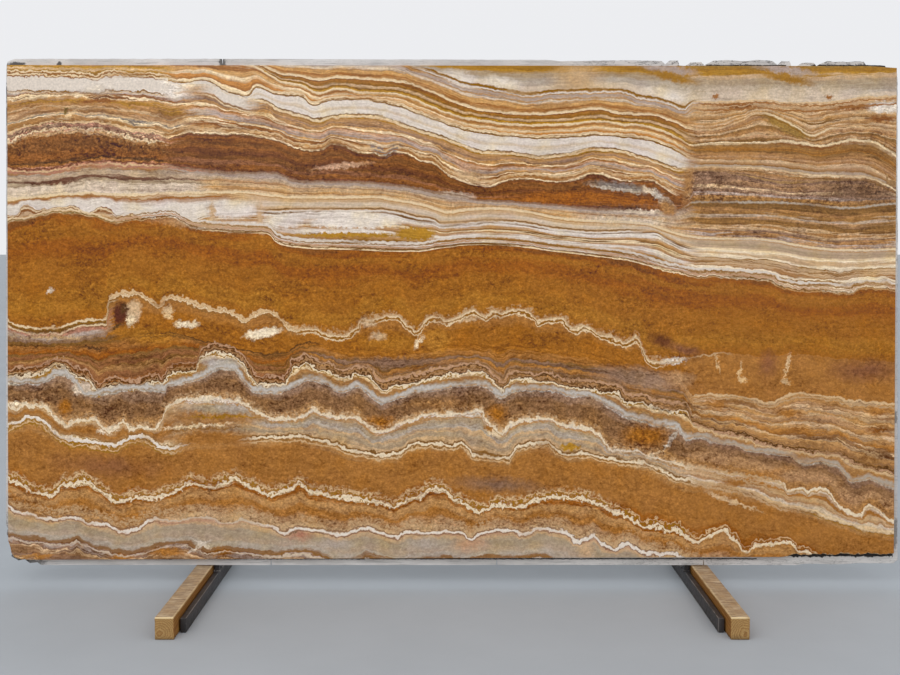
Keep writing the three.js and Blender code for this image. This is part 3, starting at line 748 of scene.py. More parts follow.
def onyx_band(number):
    """One band of banded calcite, sawn and polished to a soft gloss. The material holds the bands on either
    side too, so that bands meet along their true line."""
    material, add, shader = new_material("tiger_onyx_" + BANDS[number][0].replace(" ", "_"))
    flat, along, depth, up = slab_place(add)
    half_way = (STEPS_ALONG_FACE / 2 + GRID_LEFT) / GRID_WIDTH
    grid_x = add("Math", {0: along, 1: 1 / (STEP * GRID_WIDTH), 2: half_way}, operation="MULTIPLY_ADD")
    grid_z = add("Math", {0: up, 1: 1 / (STEP * GRID_HEIGHT), 2: 1 - GRID_BOTTOM / GRID_HEIGHT},
                 operation="MULTIPLY_ADD")

    # Crinkles that shift the bands up and down: hardly any in the smooth ribbons, more at the left and below.
    strengths = [(z / GRID_HEIGHT, strength) for z, strength in CRINKLES]
    wild = add("FloatCurve", {"Value": grid_z}, curve=strengths, sharp=True)
    left_wild = add("MapRange", {"Value": grid_x}, span=(0.3, 0.18, 0, 0.45))
    wild = add("Math", {0: wild, 1: left_wild}, operation="MAXIMUM")
    crinkle = add("TexNoise", {"Vector": flat, "Scale": 28.0, "Detail": 4.0, "Roughness": 0.66}, out=1)
    crinkle = add("VectorMath", {0: crinkle, 1: MIDDLE}, operation="SUBTRACT")
    crinkle = add("VectorMath", {0: crinkle, "Scale": wild}, operation="SCALE")
    crinkle_x, _, crinkle_z = add("SeparateXYZ", {0: crinkle}).node.outputs
    grid_x = add("Math", {0: crinkle_x, 1: CRINKLE_ALONG / GRID_WIDTH, 2: grid_x}, operation="MULTIPLY_ADD")
    grid_z = add("Math", {0: crinkle_z, 1: CRINKLE_DOWN / GRID_HEIGHT, 2: grid_z}, operation="MULTIPLY_ADD")

    # How far each point is through each band, from 0 at its upper horizon to 1 at its lower one.
    near = range(max(0, number - 1), min(len(BANDS), number + 2))
    lines = {}
    for edge in range(near[0] - 1, near[-1] + 1):
        if 0 <= edge < len(NAMES):
            name = NAMES[edge]
            sharp = edge >= NAMES.index(SHARP_FROM)
            lines[edge] = add("FloatCurve", {"Value": grid_x}, curve=grid_curve(HORIZONS[name]), sharp=sharp)
    lines[-1] = 1 - FACE_TOP / GRID_HEIGHT
    lines[len(NAMES)] = 1 - (GRID_BOTTOM + BELOW_FOOT) / GRID_HEIGHT
    through = {}
    layer = float(near[0])
    for band in near:
        through[band] = add("MapRange", {"Value": grid_z}, span=(lines[band - 1], lines[band]))
        layer = add("Math", {0: layer, 1: through[band]}, operation="ADD")

    # Laminae: long streaks that follow the bands, some of them with sharp edges.
    streaks = add("CombineXYZ", {0: along, 1: layer, 2: depth})
    streaks = stretched_noise(add, streaks, (5.0, 9.0, 5.0), Detail=3.0, Roughness=0.7)
    shift = add("MapRange", {"Value": streaks}, span=(0.3, 0.7, -0.08, 0.08))
    profile = [(0, 0), (0.34, 0.1), (0.42, 0.45), (0.445, 0.15), (0.465, 0.6), (0.5, 0.7), (0.53, 0.95),
               (0.555, 0.45), (0.575, 0.3), (0.59, 0.65), (0.66, 0.9), (1, 1)]
    streak = add("FloatCurve", {"Value": streaks}, curve=profile, sharp=True)
    streak = add("MapRange", {"Value": streak}, span=(0, 1, -1.1, 0.9))
    clouds = stretched_noise(add, flat, (6.0, 6.0, 14.0), Detail=5.0, Roughness=0.6)
    cloudy = add("MapRange", {"Value": clouds}, span=(0.35, 0.65, -0.4, 0.4))
    patchy = add("MapRange", {"Value": clouds}, span=(0.6, 0.4, 0.55, 1.3))
    grain = stretched_noise(add, flat, (56.0, 75.0, 82.0), Detail=3.0, Roughness=0.75, Distortion=0.6)
    grain = add("MapRange", {"Value": grain}, span=(0.3, 0.7, -1, 1))
    grain = add("Math", {0: grain, 1: patchy}, operation="MULTIPLY")
    hue = add("TexNoise", {"Vector": flat, "Scale": 13.0, "Detail": 3.0})
    hue = add("ValToRGB", {"Fac": hue}, stops=[
        (0.3, (0.495, 0.487, 0.515, 1)), (0.5, (0.5, 0.5, 0.5, 1)), (0.7, (0.525, 0.5, 0.42, 1))])

    # The layers of each band. They change abruptly at the right, along a join that fingers into them.
    seam_x = add("Math", {0: shift, 1: 0.16, 2: grid_x}, operation="MULTIPLY_ADD")
    past_right = add("MapRange", {"Value": seam_x}, span=[x / GRID_WIDTH for x in RIGHT_JOIN])
    colour = None
    for band in near:
        _, *colours, texture, join = BANDS[band]
        past_left = add("MapRange", {"Value": seam_x}, span=[(join + x) / GRID_WIDTH for x in LEFT_JOIN])
        shifted = add("Math", {0: through[band], 1: shift}, operation="ADD", use_clamp=True)
        layers = None
        for part, told in zip((None, past_left, past_right), colours):
            if not told:
                continue
            ends = add("ValToRGB", {"Fac": shifted}, stops=layer_stops(told))
            if layers is None:
                layers = ends
            else:
                layers = add("Mix", {0: part, 6: layers, 7: ends}, data_type="RGBA", out=2)
        band_texture = (*texture[-3:], 1)
        if len(texture) > 3:
            textured = {0: past_left, 6: (*texture[:3], 1), 7: band_texture}
            band_texture = add("Mix", textured, data_type="RGBA", out=2)
        if colour is None:
            colour = layers
            textures = band_texture
        else:
            below = add("Math", {0: through[band], 1: 0.0}, operation="GREATER_THAN")
            colour = add("Mix", {0: below, 6: colour, 7: layers}, data_type="RGBA", out=2)
            textures = add("Mix", {0: below, 6: textures, 7: band_texture}, data_type="RGBA", out=2)

    # Spots and lenses, with ragged outlines.
    nearby_spots = spots_near(number)
    if nearby_spots:
        spot_z = add("Math", {0: grid_z, 1: GRID_HEIGHT}, operation="MULTIPLY")
        spot_x = add("Math", {0: grid_x, 1: GRID_WIDTH}, operation="MULTIPLY")
        ragged = add("TexNoise", {"Vector": flat, "Scale": 80.0, "Detail": 4.0, "Roughness": 0.75}, out=1)
        spot_place = add("CombineXYZ", {0: spot_x, 1: spot_z})
        ragged = add("VectorMath", {0: ragged, 1: MIDDLE}, operation="SUBTRACT")
        ragged = add("VectorMath", {0: ragged, 1: SPOT_RAGGED}, operation="MULTIPLY")
        spot_place = add("VectorMath", {0: spot_place, 1: ragged}, operation="ADD")
    for _, x, y, long, high, turn, shade, soft in nearby_spots:
        spot = add("Mapping", {"Vector": spot_place, "Location": (x, GRID_HEIGHT - y, 0),
                               "Rotation": (0, 0, math.radians(turn)), "Scale": (long, high, 1)},
                   vector_type="TEXTURE")
        spot = add("VectorMath", {0: spot}, operation="LENGTH", out=1)
        spot = add("MapRange", {"Value": spot}, span=(1 + soft / 2, max(0, 1 - soft / 2)))
        colour = add("Mix", {0: spot, 6: colour, 7: linear(STONE[shade])}, data_type="RGBA", out=2)

    # Streaks, grains and dark flecks, each as strong as the band has them.
    streaky, grainy, flecked = add("SeparateColor", {0: textures}).node.outputs
    right_grain = 0.6 if number < NAMES.index(GRAINY_ABOVE) else -0.3
    grainier = add("Math", {0: past_right, 1: right_grain, 2: 1.0}, operation="MULTIPLY_ADD")
    grainy = add("Math", {0: grainy, 1: grainier}, operation="MULTIPLY")
    cloudy_too = add("Math", {0: grainy, 1: 0.5, 2: 0.16}, operation="MULTIPLY_ADD")
    tone = add("Math", {0: cloudy, 1: cloudy_too}, operation="MULTIPLY")
    tone = add("Math", {0: grain, 1: grainy, 2: tone}, operation="MULTIPLY_ADD")
    tone = add("Math", {0: streak, 1: streaky, 2: tone}, operation="MULTIPLY_ADD")
    flecks = add("TexNoise", {"Vector": flat, "Scale": 130.0, "Detail": 1.0})
    flecks = add("Math", {0: clouds, 1: -0.7, 2: flecks}, operation="MULTIPLY_ADD")
    flecks = add("MapRange", {"Value": flecks}, span=(0.26, 0.38, 0, -0.7))
    tone = add("Math", {0: flecks, 1: flecked, 2: tone}, operation="MULTIPLY_ADD")
    fibres = stretched_noise(add, flat, (95.0, 110.0, 110.0), Detail=2.0, Distortion=1.2)
    fibres = add("MapRange", {"Value": fibres}, span=(0.3, 0.7, -1, 1))
    fibrous = add("Math", {0: grainy, 1: 0.4, 2: 0.08}, operation="MULTIPLY_ADD")
    tone = add("Math", {0: fibres, 1: fibrous, 2: tone}, operation="MULTIPLY_ADD")
    tone = add("MapRange", {"Value": tone}, span=(-1, 1))
    tint = add("ValToRGB", {"Fac": tone}, stops=[
        (0.0, (0.16, 0.11, 0.09, 1)), (0.5, (0.5, 0.5, 0.5, 1)), (1.0, (0.92, 0.96, 1.0, 1))])
    tint = add("VectorMath", {0: tint, 1: hue}, operation="MULTIPLY")
    colour = add("VectorMath", {0: colour, 1: tint}, operation="MULTIPLY")
    colour = add("VectorMath", {0: colour, "Scale": TINT_GAIN}, operation="SCALE")

    # Thin lines along the horizons, which fade and thicken here and there.
    fine = add("TexNoise", {"Vector": flat, "Scale": 70.0, "Detail": 2.0})
    fine = add("MapRange", {"Value": fine}, span=(0.3, 0.7, -1, 1))
    strong = add("MapRange", {"Value": clouds}, span=(0.38, 0.5, 0.4, 1))
    grains = add("MapRange", {"Value": fibres}, span=(-0.5, 0.6))
    for name, (start, end), ragged_by, soft, told in LINES:
        edge = NAMES.index(name)
        if edge not in lines:
            continue
        away = add("Math", {0: lines[edge], 1: grid_z}, operation="SUBTRACT")
        away = add("Math", {0: away, 1: GRID_HEIGHT / ragged_by, 2: fine}, operation="MULTIPLY_ADD")
        reach = LINE_REACH / ragged_by
        away = add("MapRange", {"Value": away}, span=(-reach, reach))
        ramp = add("ValToRGB", {"Fac": away}, stops=line_stops(told, soft)).node
        window = [(max(0, start - LINE_FADE), int(start == 0)), (start + LINE_FADE, 1),
                  (end - LINE_FADE, 1), (min(GRID_WIDTH, end + LINE_FADE), int(end == GRID_WIDTH))]
        shown = add("ValToRGB", {"Fac": seam_x}, stops=[(x / GRID_WIDTH, (y, y, y, 1)) for x, y in window])
        shown = add("Math", {0: shown, 1: strong}, operation="MULTIPLY")
        cover = add("Math", {0: ramp.outputs[1], 1: shown}, operation="MULTIPLY")
        if soft > HAZE:
            cover = add("Math", {0: cover, 1: grains}, operation="MULTIPLY")
        colour = add("Mix", {0: cover, 6: colour, 7: ramp.outputs[0]}, data_type="RGBA", out=2)

    # A fine grit over it all, and then the polish, whose gloss adds a little white of its own.
    grit = add("TexNoise", {"Vector": flat, "Scale": 150.0, "Detail": 2.0})
    grit = add("MapRange", {"Value": grit}, span=(0.25, 0.75, -0.4, 0.4))
    grit_strength = add("Math", {0: grainy, 1: 1.0, 2: 0.12}, operation="MULTIPLY_ADD")
    grit = add("Math", {0: grit, 1: grit_strength, 2: 1.0}, operation="MULTIPLY_ADD")
    colour = add("VectorMath", {0: colour, "Scale": grit}, operation="SCALE")
    colour = add("VectorMath", {0: colour, 1: (GLOSS_WHITE,) * 3}, operation="SUBTRACT")
    colour = add("VectorMath", {0: colour, 1: (0, 0, 0)}, operation="MAXIMUM")

    plug(shader, {"Base Color": colour, "Roughness": 0.25, "IOR": 1.5, "Specular IOR Level": 0.2})
    return material


def broken_onyx():
    """Calcite where it was knocked: dull, sugary and paler than the polished face."""
    material, add, shader = new_material("broken_onyx")
    place = add("TexCoord", out=3)
    crystals = add("TexNoise", {"Vector": place, "Scale": 160.0, "Detail": 3.0, "Roughness": 0.7})
    colour = add("ValToRGB", {"Fac": crystals}, stops=[
        (0.35, linear("6b4a2c")), (0.5, linear("b98f5c")), (0.62, linear("e6d2ae"))])
    bump = add("Bump", {"Height": crystals, "Strength": 0.6, "Distance": 0.001})
    plug(shader, {"Base Color": colour, "Roughness": 0.8, "Specular IOR Level": 0.3, "Normal": bump})
    return material


# ---------------------------------------------------------------- the slab

# The slab's cells, in grid steps, and the first cut between them, which is just above the slab.
CELL_LONG = 12
CELL_HIGH = 6
CELLS_FROM = 60

# Where the slab's edge is chipped: start and end along the slab, how high up it, and how deep.
CHIPS = [
    ("lower right edge", 1.0, 1.35, 0.06, 0.0055),
    ("broken lower corner", -1.35, -1.26, 0.07, 0.0045),
]


def in_slab(point):
    """Where a point is along the slab, behind its polished face, and up its slope."""
    place = point - FACE_FOOT
    return place.x, place.dot(BACKWARD), place.dot(UPWARD)


def chip_edges(shape):
    """Breaks small shells off the slab's lower edge and its left corner, deepest at the polished face."""
    for _, start, end, high, deep in CHIPS:
        for number in range(int((end - start) / CHIP_STEP)):
            down, left = EDGE_LOOKS
            low_faces = [f for f in shape.faces if f.normal.dot(UPWARD) < down or f.normal.x < left]
            touched = {part for face in low_faces for part in [face, *face.edges, *face.verts]}
            place = Vector((start + (number + 0.5) * CHIP_STEP, 0, 0))
            bmesh.ops.bisect_plane(shape, geom=list(touched), dist=SLACK, plane_co=place, plane_no=(1, 0, 0))
        for vertex in shape.verts:
            x, depth, z = in_slab(vertex.co)
            if not (start <= x <= end and z < high):
                continue
            near_end = min(1.0, (x - start if x > 0 else end - x) / CHIP_FADE)
            large, small = CHIP_GRAINS
            jagged = noise.noise(Vector((x / large, z / large, 0)))
            jagged += 0.7 * noise.noise(Vector((x / small, z / small, 5)))
            shell = next(share for behind, share in SHELLS if depth < behind)
            inward = UPWARD if x > 0 else (UPWARD + Vector((0.5, 0, 0))).normalized()
            vertex.co += inward * deep * near_end * shell * max(0.0, 0.3 + 1.2 * jagged)


# Strips of the slab's flat map: where each starts, and how high it is.
MAP_STRIPS = {
    "rear": (0.002, 0.008),
    "top": (0.015, 0.006),
    "foot": (0.025, 0.006),
    "right": (0.035, 0.006),
    "left": (0.045, 0.006),
    "face": (0.06, 0.938),
}


def bake_map(shape):
    """A flat map of the slab: the polished face fills most of it, and the rear and edges are strips below."""
    layer = shape.loops.layers.uv.new("OFBake")
    for face in shape.faces:
        backward = face.normal.dot(BACKWARD)
        upward = face.normal.dot(UPWARD)
        for loop in face.loops:
            x, depth, z = in_slab(loop.vert.co)
            along = x / SLAB_LENGTH + 0.5
            up = z / SLAB_HEIGHT
            back = depth / SLAB_THICKNESS
            if abs(backward) > 0.9:
                strip, across, over = "face" if backward < 0 else "rear", along, up
            elif abs(upward) > 0.5:
                strip, across, over = "top" if upward > 0 else "foot", along, back
            else:
                strip, across, over = "right" if face.normal.x > 0 else "left", up, back
            start, high = MAP_STRIPS[strip]
            loop[layer].uv = 0.002 + 0.996 * across, start + high * over


def copy_of(node, name):
    """A copy of a CAD node, with a mesh of its own."""
    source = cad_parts[node]
    piece = source.copy()
    piece.data = source.data.copy()
    piece.name = name
    bpy.context.scene.collection.objects.link(piece)
    return piece


def onyx_slab():
    """The slab's own mesh, cut into small flat cells, each with the material of its band."""
    slab = copy_of("onyx_slab", "polished_slab")
    shape = bmesh.new()
    shape.from_mesh(slab.data)
    bmesh.ops.remove_doubles(shape, verts=shape.verts, dist=MERGE)
    bmesh.ops.dissolve_limit(shape, angle_limit=FLAT_ANGLE, verts=shape.verts, edges=shape.edges)
    chip_edges(shape)
    cuts = [(Vector(((x - GRID_LEFT) * STEP - SLAB_LENGTH / 2, 0, 0)), Vector((1, 0, 0)))
            for x in range(CELL_LONG, GRID_WIDTH, CELL_LONG)]
    cuts += [(FACE_FOOT + UPWARD * (GRID_BOTTOM - y) * STEP, UPWARD)
             for y in range(CELLS_FROM, GRID_BOTTOM, CELL_HIGH)]
    for place, normal in cuts:
        everything = shape.verts[:] + shape.edges[:] + shape.faces[:]
        bmesh.ops.bisect_plane(shape, geom=everything, dist=SLACK, plane_co=place, plane_no=normal)
    for face in shape.faces:
        centre = face.calc_center_median() - FACE_FOOT
        x = (centre.x + SLAB_LENGTH / 2) / STEP + GRID_LEFT
        y = GRID_BOTTOM - centre.dot(UPWARD) / STEP
        face.material_index = sum(horizon_height(name, x) < y for name in NAMES)
        low_side = face.normal.dot(UPWARD) < BROKEN_LOOKS
        if low_side and any(start < centre.x < end for _, start, end, _, _ in CHIPS):
            face.material_index = len(BANDS)
    bake_map(shape)
    slab.data.materials.clear()
    for number in range(len(BANDS)):
        slab.data.materials.append(onyx_band(number))
    slab.data.materials.append(broken_onyx())
    shape.to_mesh(slab.data)
    shape.free()
    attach(slab, "root")
    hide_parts("onyx_slab")


# ---------------------------------------------------------------- the stand's materials


def backing_resin():
    """Polyester resin over glass mesh: dull, pale grey and scuffed, with dirt where it is broken and painted
    shade along the slab's edges and in the open seams. The mesh's squares are 20 mm wide, which is coarser
    than the real ones, so that they show."""
    material, add, shader = new_material("backing_resin")
    flat, along, depth, up = slab_place(add)

    blotches = add("TexNoise", {"Vector": flat, "Scale": 4.0, "Detail": 6.0, "Roughness": 0.6})
    colour = add("ValToRGB", {"Fac": blotches}, stops=[
        (0.30, linear("bcb9b6")), (0.5, linear("d3cfcb")), (0.66, linear("e2deda"))])
    scuffs = stretched_noise(add, flat, (9.0, 40.0, 160.0), Detail=4.0, Roughness=0.7)
    scuffed = add("MapRange", {"Value": scuffs}, span=(0.52, 0.66, 0, 0.55))
    colour = add("Mix", {0: scuffed, 6: colour, 7: linear("999694")}, data_type="RGBA", out=2)

    # The glass mesh shows on the rear face, as small squares.
    square = 2 * math.pi / MESH_SQUARE
    wave_x = add("Math", {0: along, 1: square}, operation="MULTIPLY")
    wave_x = add("Math", {0: wave_x}, operation="COSINE")
    wave_z = add("Math", {0: up, 1: square}, operation="MULTIPLY")
    wave_z = add("Math", {0: wave_z}, operation="COSINE")
    mesh = add("Math", {0: wave_x, 1: wave_z}, operation="MAXIMUM")
    mesh = add("MapRange", {"Value": mesh}, span=(0.5, 1.0))
    rear = add("MapRange", {"Value": depth}, span=(BOARD_REAR - 0.001, BOARD_REAR - 0.0005))
    mesh = add("Math", {0: mesh, 1: rear}, operation="MULTIPLY")
    smeared = add("MapRange", {"Value": blotches}, span=(0.36, 0.6, 0.6, 0.15))
    mesh_seen = add("Math", {0: mesh, 1: smeared}, operation="MULTIPLY")
    colour = add("Mix", {0: mesh_seen, 6: colour, 7: linear("e6e3dd")}, data_type="RGBA", out=2)

    # Dark patches, less of them at the rear: dirt where the board is broken, and painted shade where they lie
    # along the slab's edges.
    dirt_and_shade_strength = add("Math", {0: rear, 1: -0.6, 2: 1.0}, operation="MULTIPLY_ADD")
    specks = add("TexNoise", {"Vector": flat, "Scale": 90.0, "Detail": 3.0, "Roughness": 0.7})
    for _, x, z, long, high, strength in DIRT_AND_SHADE:
        patch = add("Mapping", {"Vector": flat, "Location": (x, BOARD_REAR / 2, z),
                                "Scale": (long, 0.3, high)}, vector_type="TEXTURE")
        patch = add("VectorMath", {0: patch}, operation="LENGTH", out=1)
        patch = add("Math", {0: specks, 1: 1.6, 2: patch}, operation="MULTIPLY_ADD")
        patch = add("MapRange", {"Value": patch}, span=(1.9, 1.5, 0, strength))
        patch = add("Math", {0: patch, 1: dirt_and_shade_strength}, operation="MULTIPLY")
        colour = add("Mix", {0: patch, 6: colour, 7: linear("3a3736")}, data_type="RGBA", out=2)
    # The open seams along the slab are painted dark, as their shade with dirt in it.
    front = add("MapRange", {"Value": depth}, span=(0.024, 0.022))
    for _, start, end, low, high in SEAM_SHADES:
        ragged = SEAM_RAGGED[0] + SEAM_RAGGED[1] * (high - low)
        across = add("Math", {0: specks, 1: ragged, 2: up}, operation="MULTIPLY_ADD")
        middle = (low + high + ragged) / 2
        inside = add("Math", {0: across, 1: middle, 2: (high - low) / 2}, operation="COMPARE")
        far = add("Math", {0: along, 1: (start + end) / 2, 2: (end - start) / 2}, operation="COMPARE")
        inside = add("Math", {0: inside, 1: far}, operation="MULTIPLY")
        inside = add("Math", {0: inside, 1: front}, operation="MULTIPLY")
        colour = add("Mix", {0: inside, 6: colour, 7: linear("2a2624")}, data_type="RGBA", out=2)

    # Hairline cracks, most of them where the board's upper edge is broken.
    cracks = stretched_noise(add, flat, (13.0, 1.0, 60.0), Detail=4.0, Roughness=0.7)
    cracks = add("Math", {0: cracks, 1: 0.5, 2: 0.012}, operation="COMPARE")
    where = add("MapRange", {"Value": along}, span=(0.3, 0.6, 0.15, 0.9))
    upper_rim = add("MapRange", {"Value": up}, span=(1.496, 1.503))
    lower_rim = add("MapRange", {"Value": up}, span=(0.0, -0.004, 0, 0.4))
    rims = add("Math", {0: upper_rim, 1: lower_rim}, operation="MAXIMUM")
    cracks = add("Math", {0: cracks, 1: where}, operation="MULTIPLY")
    cracks = add("Math", {0: cracks, 1: rims}, operation="MULTIPLY")
    colour = add("Mix", {0: cracks, 6: colour, 7: linear("4a4644")}, data_type="RGBA", out=2)

    dullness = add("MapRange", {"Value": scuffs}, span=(0.3, 0.7, 0.62, 0.9))
    height = add("Math", {0: mesh, 1: 0.5, 2: scuffs}, operation="MULTIPLY_ADD")
    bump = add("Bump", {"Height": height, "Strength": 0.5, "Distance": 0.001})
    plug(shader, {"Base Color": colour, "Roughness": dullness, "Specular IOR Level": 0.35, "Normal": bump})
    return material


def sawn_softwood(side):
    """A spruce bearer, sawn across its upper face and worn by slabs slid over it: pale and dusty on top, and
    painted darker and browner at the sides, as shade warmed by light bounced off the slab. The rings at its
    end are 5 mm apart, and the saw marks 13 mm, wider than real ones, so that they show."""
    material, add, shader = new_material(f"{side}_sawn_softwood")
    low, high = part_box(f"{side}_timber_bearer")
    middle = (low + high) / 2
    place = add("TexCoord", out=3)
    facing = add("NewGeometry", out=1)
    outward = -1 if side == "left" else 1

    # Growth rings around a pith below and outside the bearer, stretched along it.
    pith = (middle.x + outward * 0.012, 0.0, low.z + 0.016)
    warp = stretched_noise(add, place, (30.0, 3.0, 30.0), Detail=3.0)
    rings = add("Mapping", {"Vector": place, "Location": pith, "Scale": (1.0, 30.0, 1.0)},
                vector_type="TEXTURE")
    rings = add("VectorMath", {0: rings}, operation="LENGTH", out=1)
    rings = add("Math", {0: rings, 1: 1 / RING_WIDTH}, operation="MULTIPLY")
    rings = add("Math", {0: warp, 1: 3.0, 2: rings}, operation="MULTIPLY_ADD")
    rings = add("Math", {0: rings, 1: 1.0}, operation="FLOORED_MODULO")
    fibres = stretched_noise(add, place, (420.0, 12.0, 420.0), Detail=4.0, Roughness=0.6)
    wood = add("ValToRGB", {"Fac": rings}, stops=[
        (0.0, linear("b5935f")), (0.55, linear("a98350")), (0.86, linear("92693a")), (1.0, linear("ad8856"))])
    fibre_tone = add("MapRange", {"Value": fibres}, span=(0.3, 0.7, 0.72, 1.2))
    wood = add("VectorMath", {0: wood, "Scale": fibre_tone}, operation="SCALE")

    # The sides are painted browner, as shade warmed by light bounced off the slab, and the upper face has saw
    # marks across it and pale dust in them.
    face_x, _, face_z = add("SeparateXYZ", {0: facing}).node.outputs
    sideways = add("Math", {0: face_x}, operation="ABSOLUTE")
    sideways = add("MapRange", {"Value": sideways}, span=(0.6, 0.9))
    warm_shaded_sides = add("VectorMath", {0: wood, 1: (0.74, 0.56, 0.30)}, operation="MULTIPLY")
    colour = add("Mix", {0: sideways, 6: wood, 7: warm_shaded_sides}, data_type="RGBA", out=2)
    saw = stretched_noise(add, place, (16.0, 75.0, 16.0), Detail=5.0, Roughness=0.8)
    worn = add("TexNoise", {"Vector": place, "Scale": 22.0, "Detail": 5.0, "Roughness": 0.65})
    dust = add("ValToRGB", {"Fac": saw}, stops=[
        (0.36, linear("7a6551")), (0.5, linear("aa9377")), (0.64, linear("d0bd9f"))])
    topward = add("MapRange", {"Value": face_z}, span=(0.5, 0.9))
    dusty = add("MapRange", {"Value": worn}, span=(0.35, 0.6, 0.55, 0.95))
    dusty = add("Math", {0: dusty, 1: topward}, operation="MULTIPLY")
    colour = add("Mix", {0: dusty, 6: colour, 7: dust}, data_type="RGBA", out=2)

    # Fresh pale wood shows where the arrises at the front and along the top are knocked.
    rub = add("Mapping", {"Vector": place, "Location": (middle.x, low.y, high.z)}, vector_type="TEXTURE")
    rub_x, rub_y, rub_z = add("SeparateXYZ", {0: rub}).node.outputs
    front = add("MapRange", {"Value": rub_y}, span=(0.0045, 0.002))
    topmost = add("MapRange", {"Value": rub_z}, span=(-0.0045, -0.002))
    front_edge = add("Math", {0: front, 1: topmost}, operation="MULTIPLY")
    inner = add("Math", {0: rub_x, 1: -outward}, operation="MULTIPLY")
    inner = add("MapRange", {"Value": inner}, span=(0.0195, 0.0225))
    inner_edge = add("Math", {0: inner, 1: topmost}, operation="MULTIPLY")
    inner_edge = add("Math", {0: inner_edge, 1: 0.4}, operation="MULTIPLY")
    knocked = add("Math", {0: front_edge, 1: inner_edge}, operation="MAXIMUM")
    patchy = add("MapRange", {"Value": worn}, span=(0.38, 0.5, 0.35, 1.0))
    knocked = add("Math", {0: knocked, 1: patchy}, operation="MULTIPLY")
    colour = add("Mix", {0: knocked, 6: colour, 7: linear("e8cf9f")}, data_type="RGBA", out=2)

    # Darker towards the floor.
    foot = add("Math", {0: worn, 1: 0.03, 2: rub_z}, operation="MULTIPLY_ADD")
    foot = add("MapRange", {"Value": foot}, span=(-0.034, -0.048, 0, 0.6))
    colour = add("Mix", {0: foot, 6: colour, 7: linear("4b3a24")}, data_type="RGBA", out=2)

    height = add("Math", {0: fibres, 1: saw}, operation="ADD")
    bump = add("Bump", {"Height": height, "Strength": 0.5, "Distance": 0.0012})
    plug(shader, {"Base Color": colour, "Roughness": 0.8, "Specular IOR Level": 0.25, "Normal": bump})
    return material


def painted_steel():
    """Mild steel bar brushed with dark grey enamel: a low sheen with brush marks, rubbed to bare metal along
    its arrises and freckled with rust."""
    material, add, shader = new_material("painted_steel")
    place = add("TexCoord", out=3)
    blotches = add("TexNoise", {"Vector": place, "Scale": 9.0, "Detail": 5.0, "Roughness": 0.6})
    colour = add("ValToRGB", {"Fac": blotches}, stops=[
        (0.32, linear("262323")), (0.5, linear("322e2e")), (0.68, linear("403b3a"))])
    freckles = add("TexNoise", {"Vector": place, "Scale": 120.0, "Detail": 3.0, "Roughness": 0.7})
    rusty = add("Math", {0: blotches, 1: 0.6, 2: freckles}, operation="MULTIPLY_ADD")
    rusty = add("MapRange", {"Value": rusty}, span=(0.94, 1.02, 0, 0.8))
    colour = add("Mix", {0: rusty, 6: colour, 7: linear("5e3a26")}, data_type="RGBA", out=2)

    # Arrises point between two axes, so the largest part of their direction is small.
    facing = add("TexCoord", out=1)
    facing = add("VectorMath", {0: facing}, operation="ABSOLUTE")
    face_x, face_y, face_z = add("SeparateXYZ", {0: facing}).node.outputs
    most = add("Math", {0: face_x, 1: face_y}, operation="MAXIMUM")
    most = add("Math", {0: most, 1: face_z}, operation="MAXIMUM")
    edge = add("MapRange", {"Value": most}, span=(0.93, 0.8))
    rubbed = add("Math", {0: freckles, 1: blotches}, operation="ADD")
    rubbed = add("MapRange", {"Value": rubbed}, span=(0.9, 1.02))
    bare = add("Math", {0: edge, 1: rubbed}, operation="MULTIPLY")
    colour = add("Mix", {0: bare, 6: colour, 7: linear("8d8680")}, data_type="RGBA", out=2)

    sheen = add("MapRange", {"Value": freckles}, span=(0.3, 0.7, 0.42, 0.7))
    height = add("Math", {0: freckles, 1: rusty}, operation="ADD")
    bump = add("Bump", {"Height": height, "Strength": 0.3, "Distance": 0.0008})
    plug(shader, {"Base Color": colour, "Roughness": sheen, "Normal": bump})
    return material


# ---------------------------------------------------------------- the stand's pieces


def select_only(piece):
    """Selects one piece and nothing else, and makes it the active one."""
    bpy.ops.object.select_all(action="DESELECT")
    piece.select_set(True)
    bpy.context.view_layer.objects.active = piece


def merged_copy(node, name):
    """A copy of a CAD node whose loose triangles are merged into whole faces, open in edit mode."""
    piece = copy_of(node, name)
    select_only(piece)
    bpy.ops.object.mode_set(mode="EDIT")
    bpy.ops.mesh.select_all(action="SELECT")
    bpy.ops.mesh.remove_doubles(threshold=MERGE)
    bpy.ops.mesh.dissolve_limited(angle_limit=FLAT_ANGLE)
    return piece


def finish_piece(piece, material, slot, *nodes):
    """Leaves edit mode, smooths all but the sharp edges, and gives the piece its finish and its place."""
    bpy.ops.object.mode_set(mode="OBJECT")
    select_only(piece)
    bpy.ops.object.shade_smooth_by_angle(angle=SMOOTH_UNDER)
    piece.data.materials.clear()
    piece.data.materials.append(material)
    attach(piece, "root")
    if nodes:
        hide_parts(*nodes)


def roughen(piece, texture_name, grain, depth):
    """Pushes the surface in and out a little, with a cloudy pattern of a given grain."""
    texture = bpy.data.textures.new(texture_name, "CLOUDS")
    texture.noise_scale = grain
    texture.noise_depth = 2
    uneven = piece.modifiers.new("uneven", "DISPLACE")
    uneven.texture = texture
    uneven.texture_coords = "LOCAL"
    uneven.strength = depth
    uneven.mid_level = 0.5
    bpy.ops.object.mode_set(mode="OBJECT")
    select_only(piece)
    bpy.ops.object.modifier_apply(modifier="uneven")


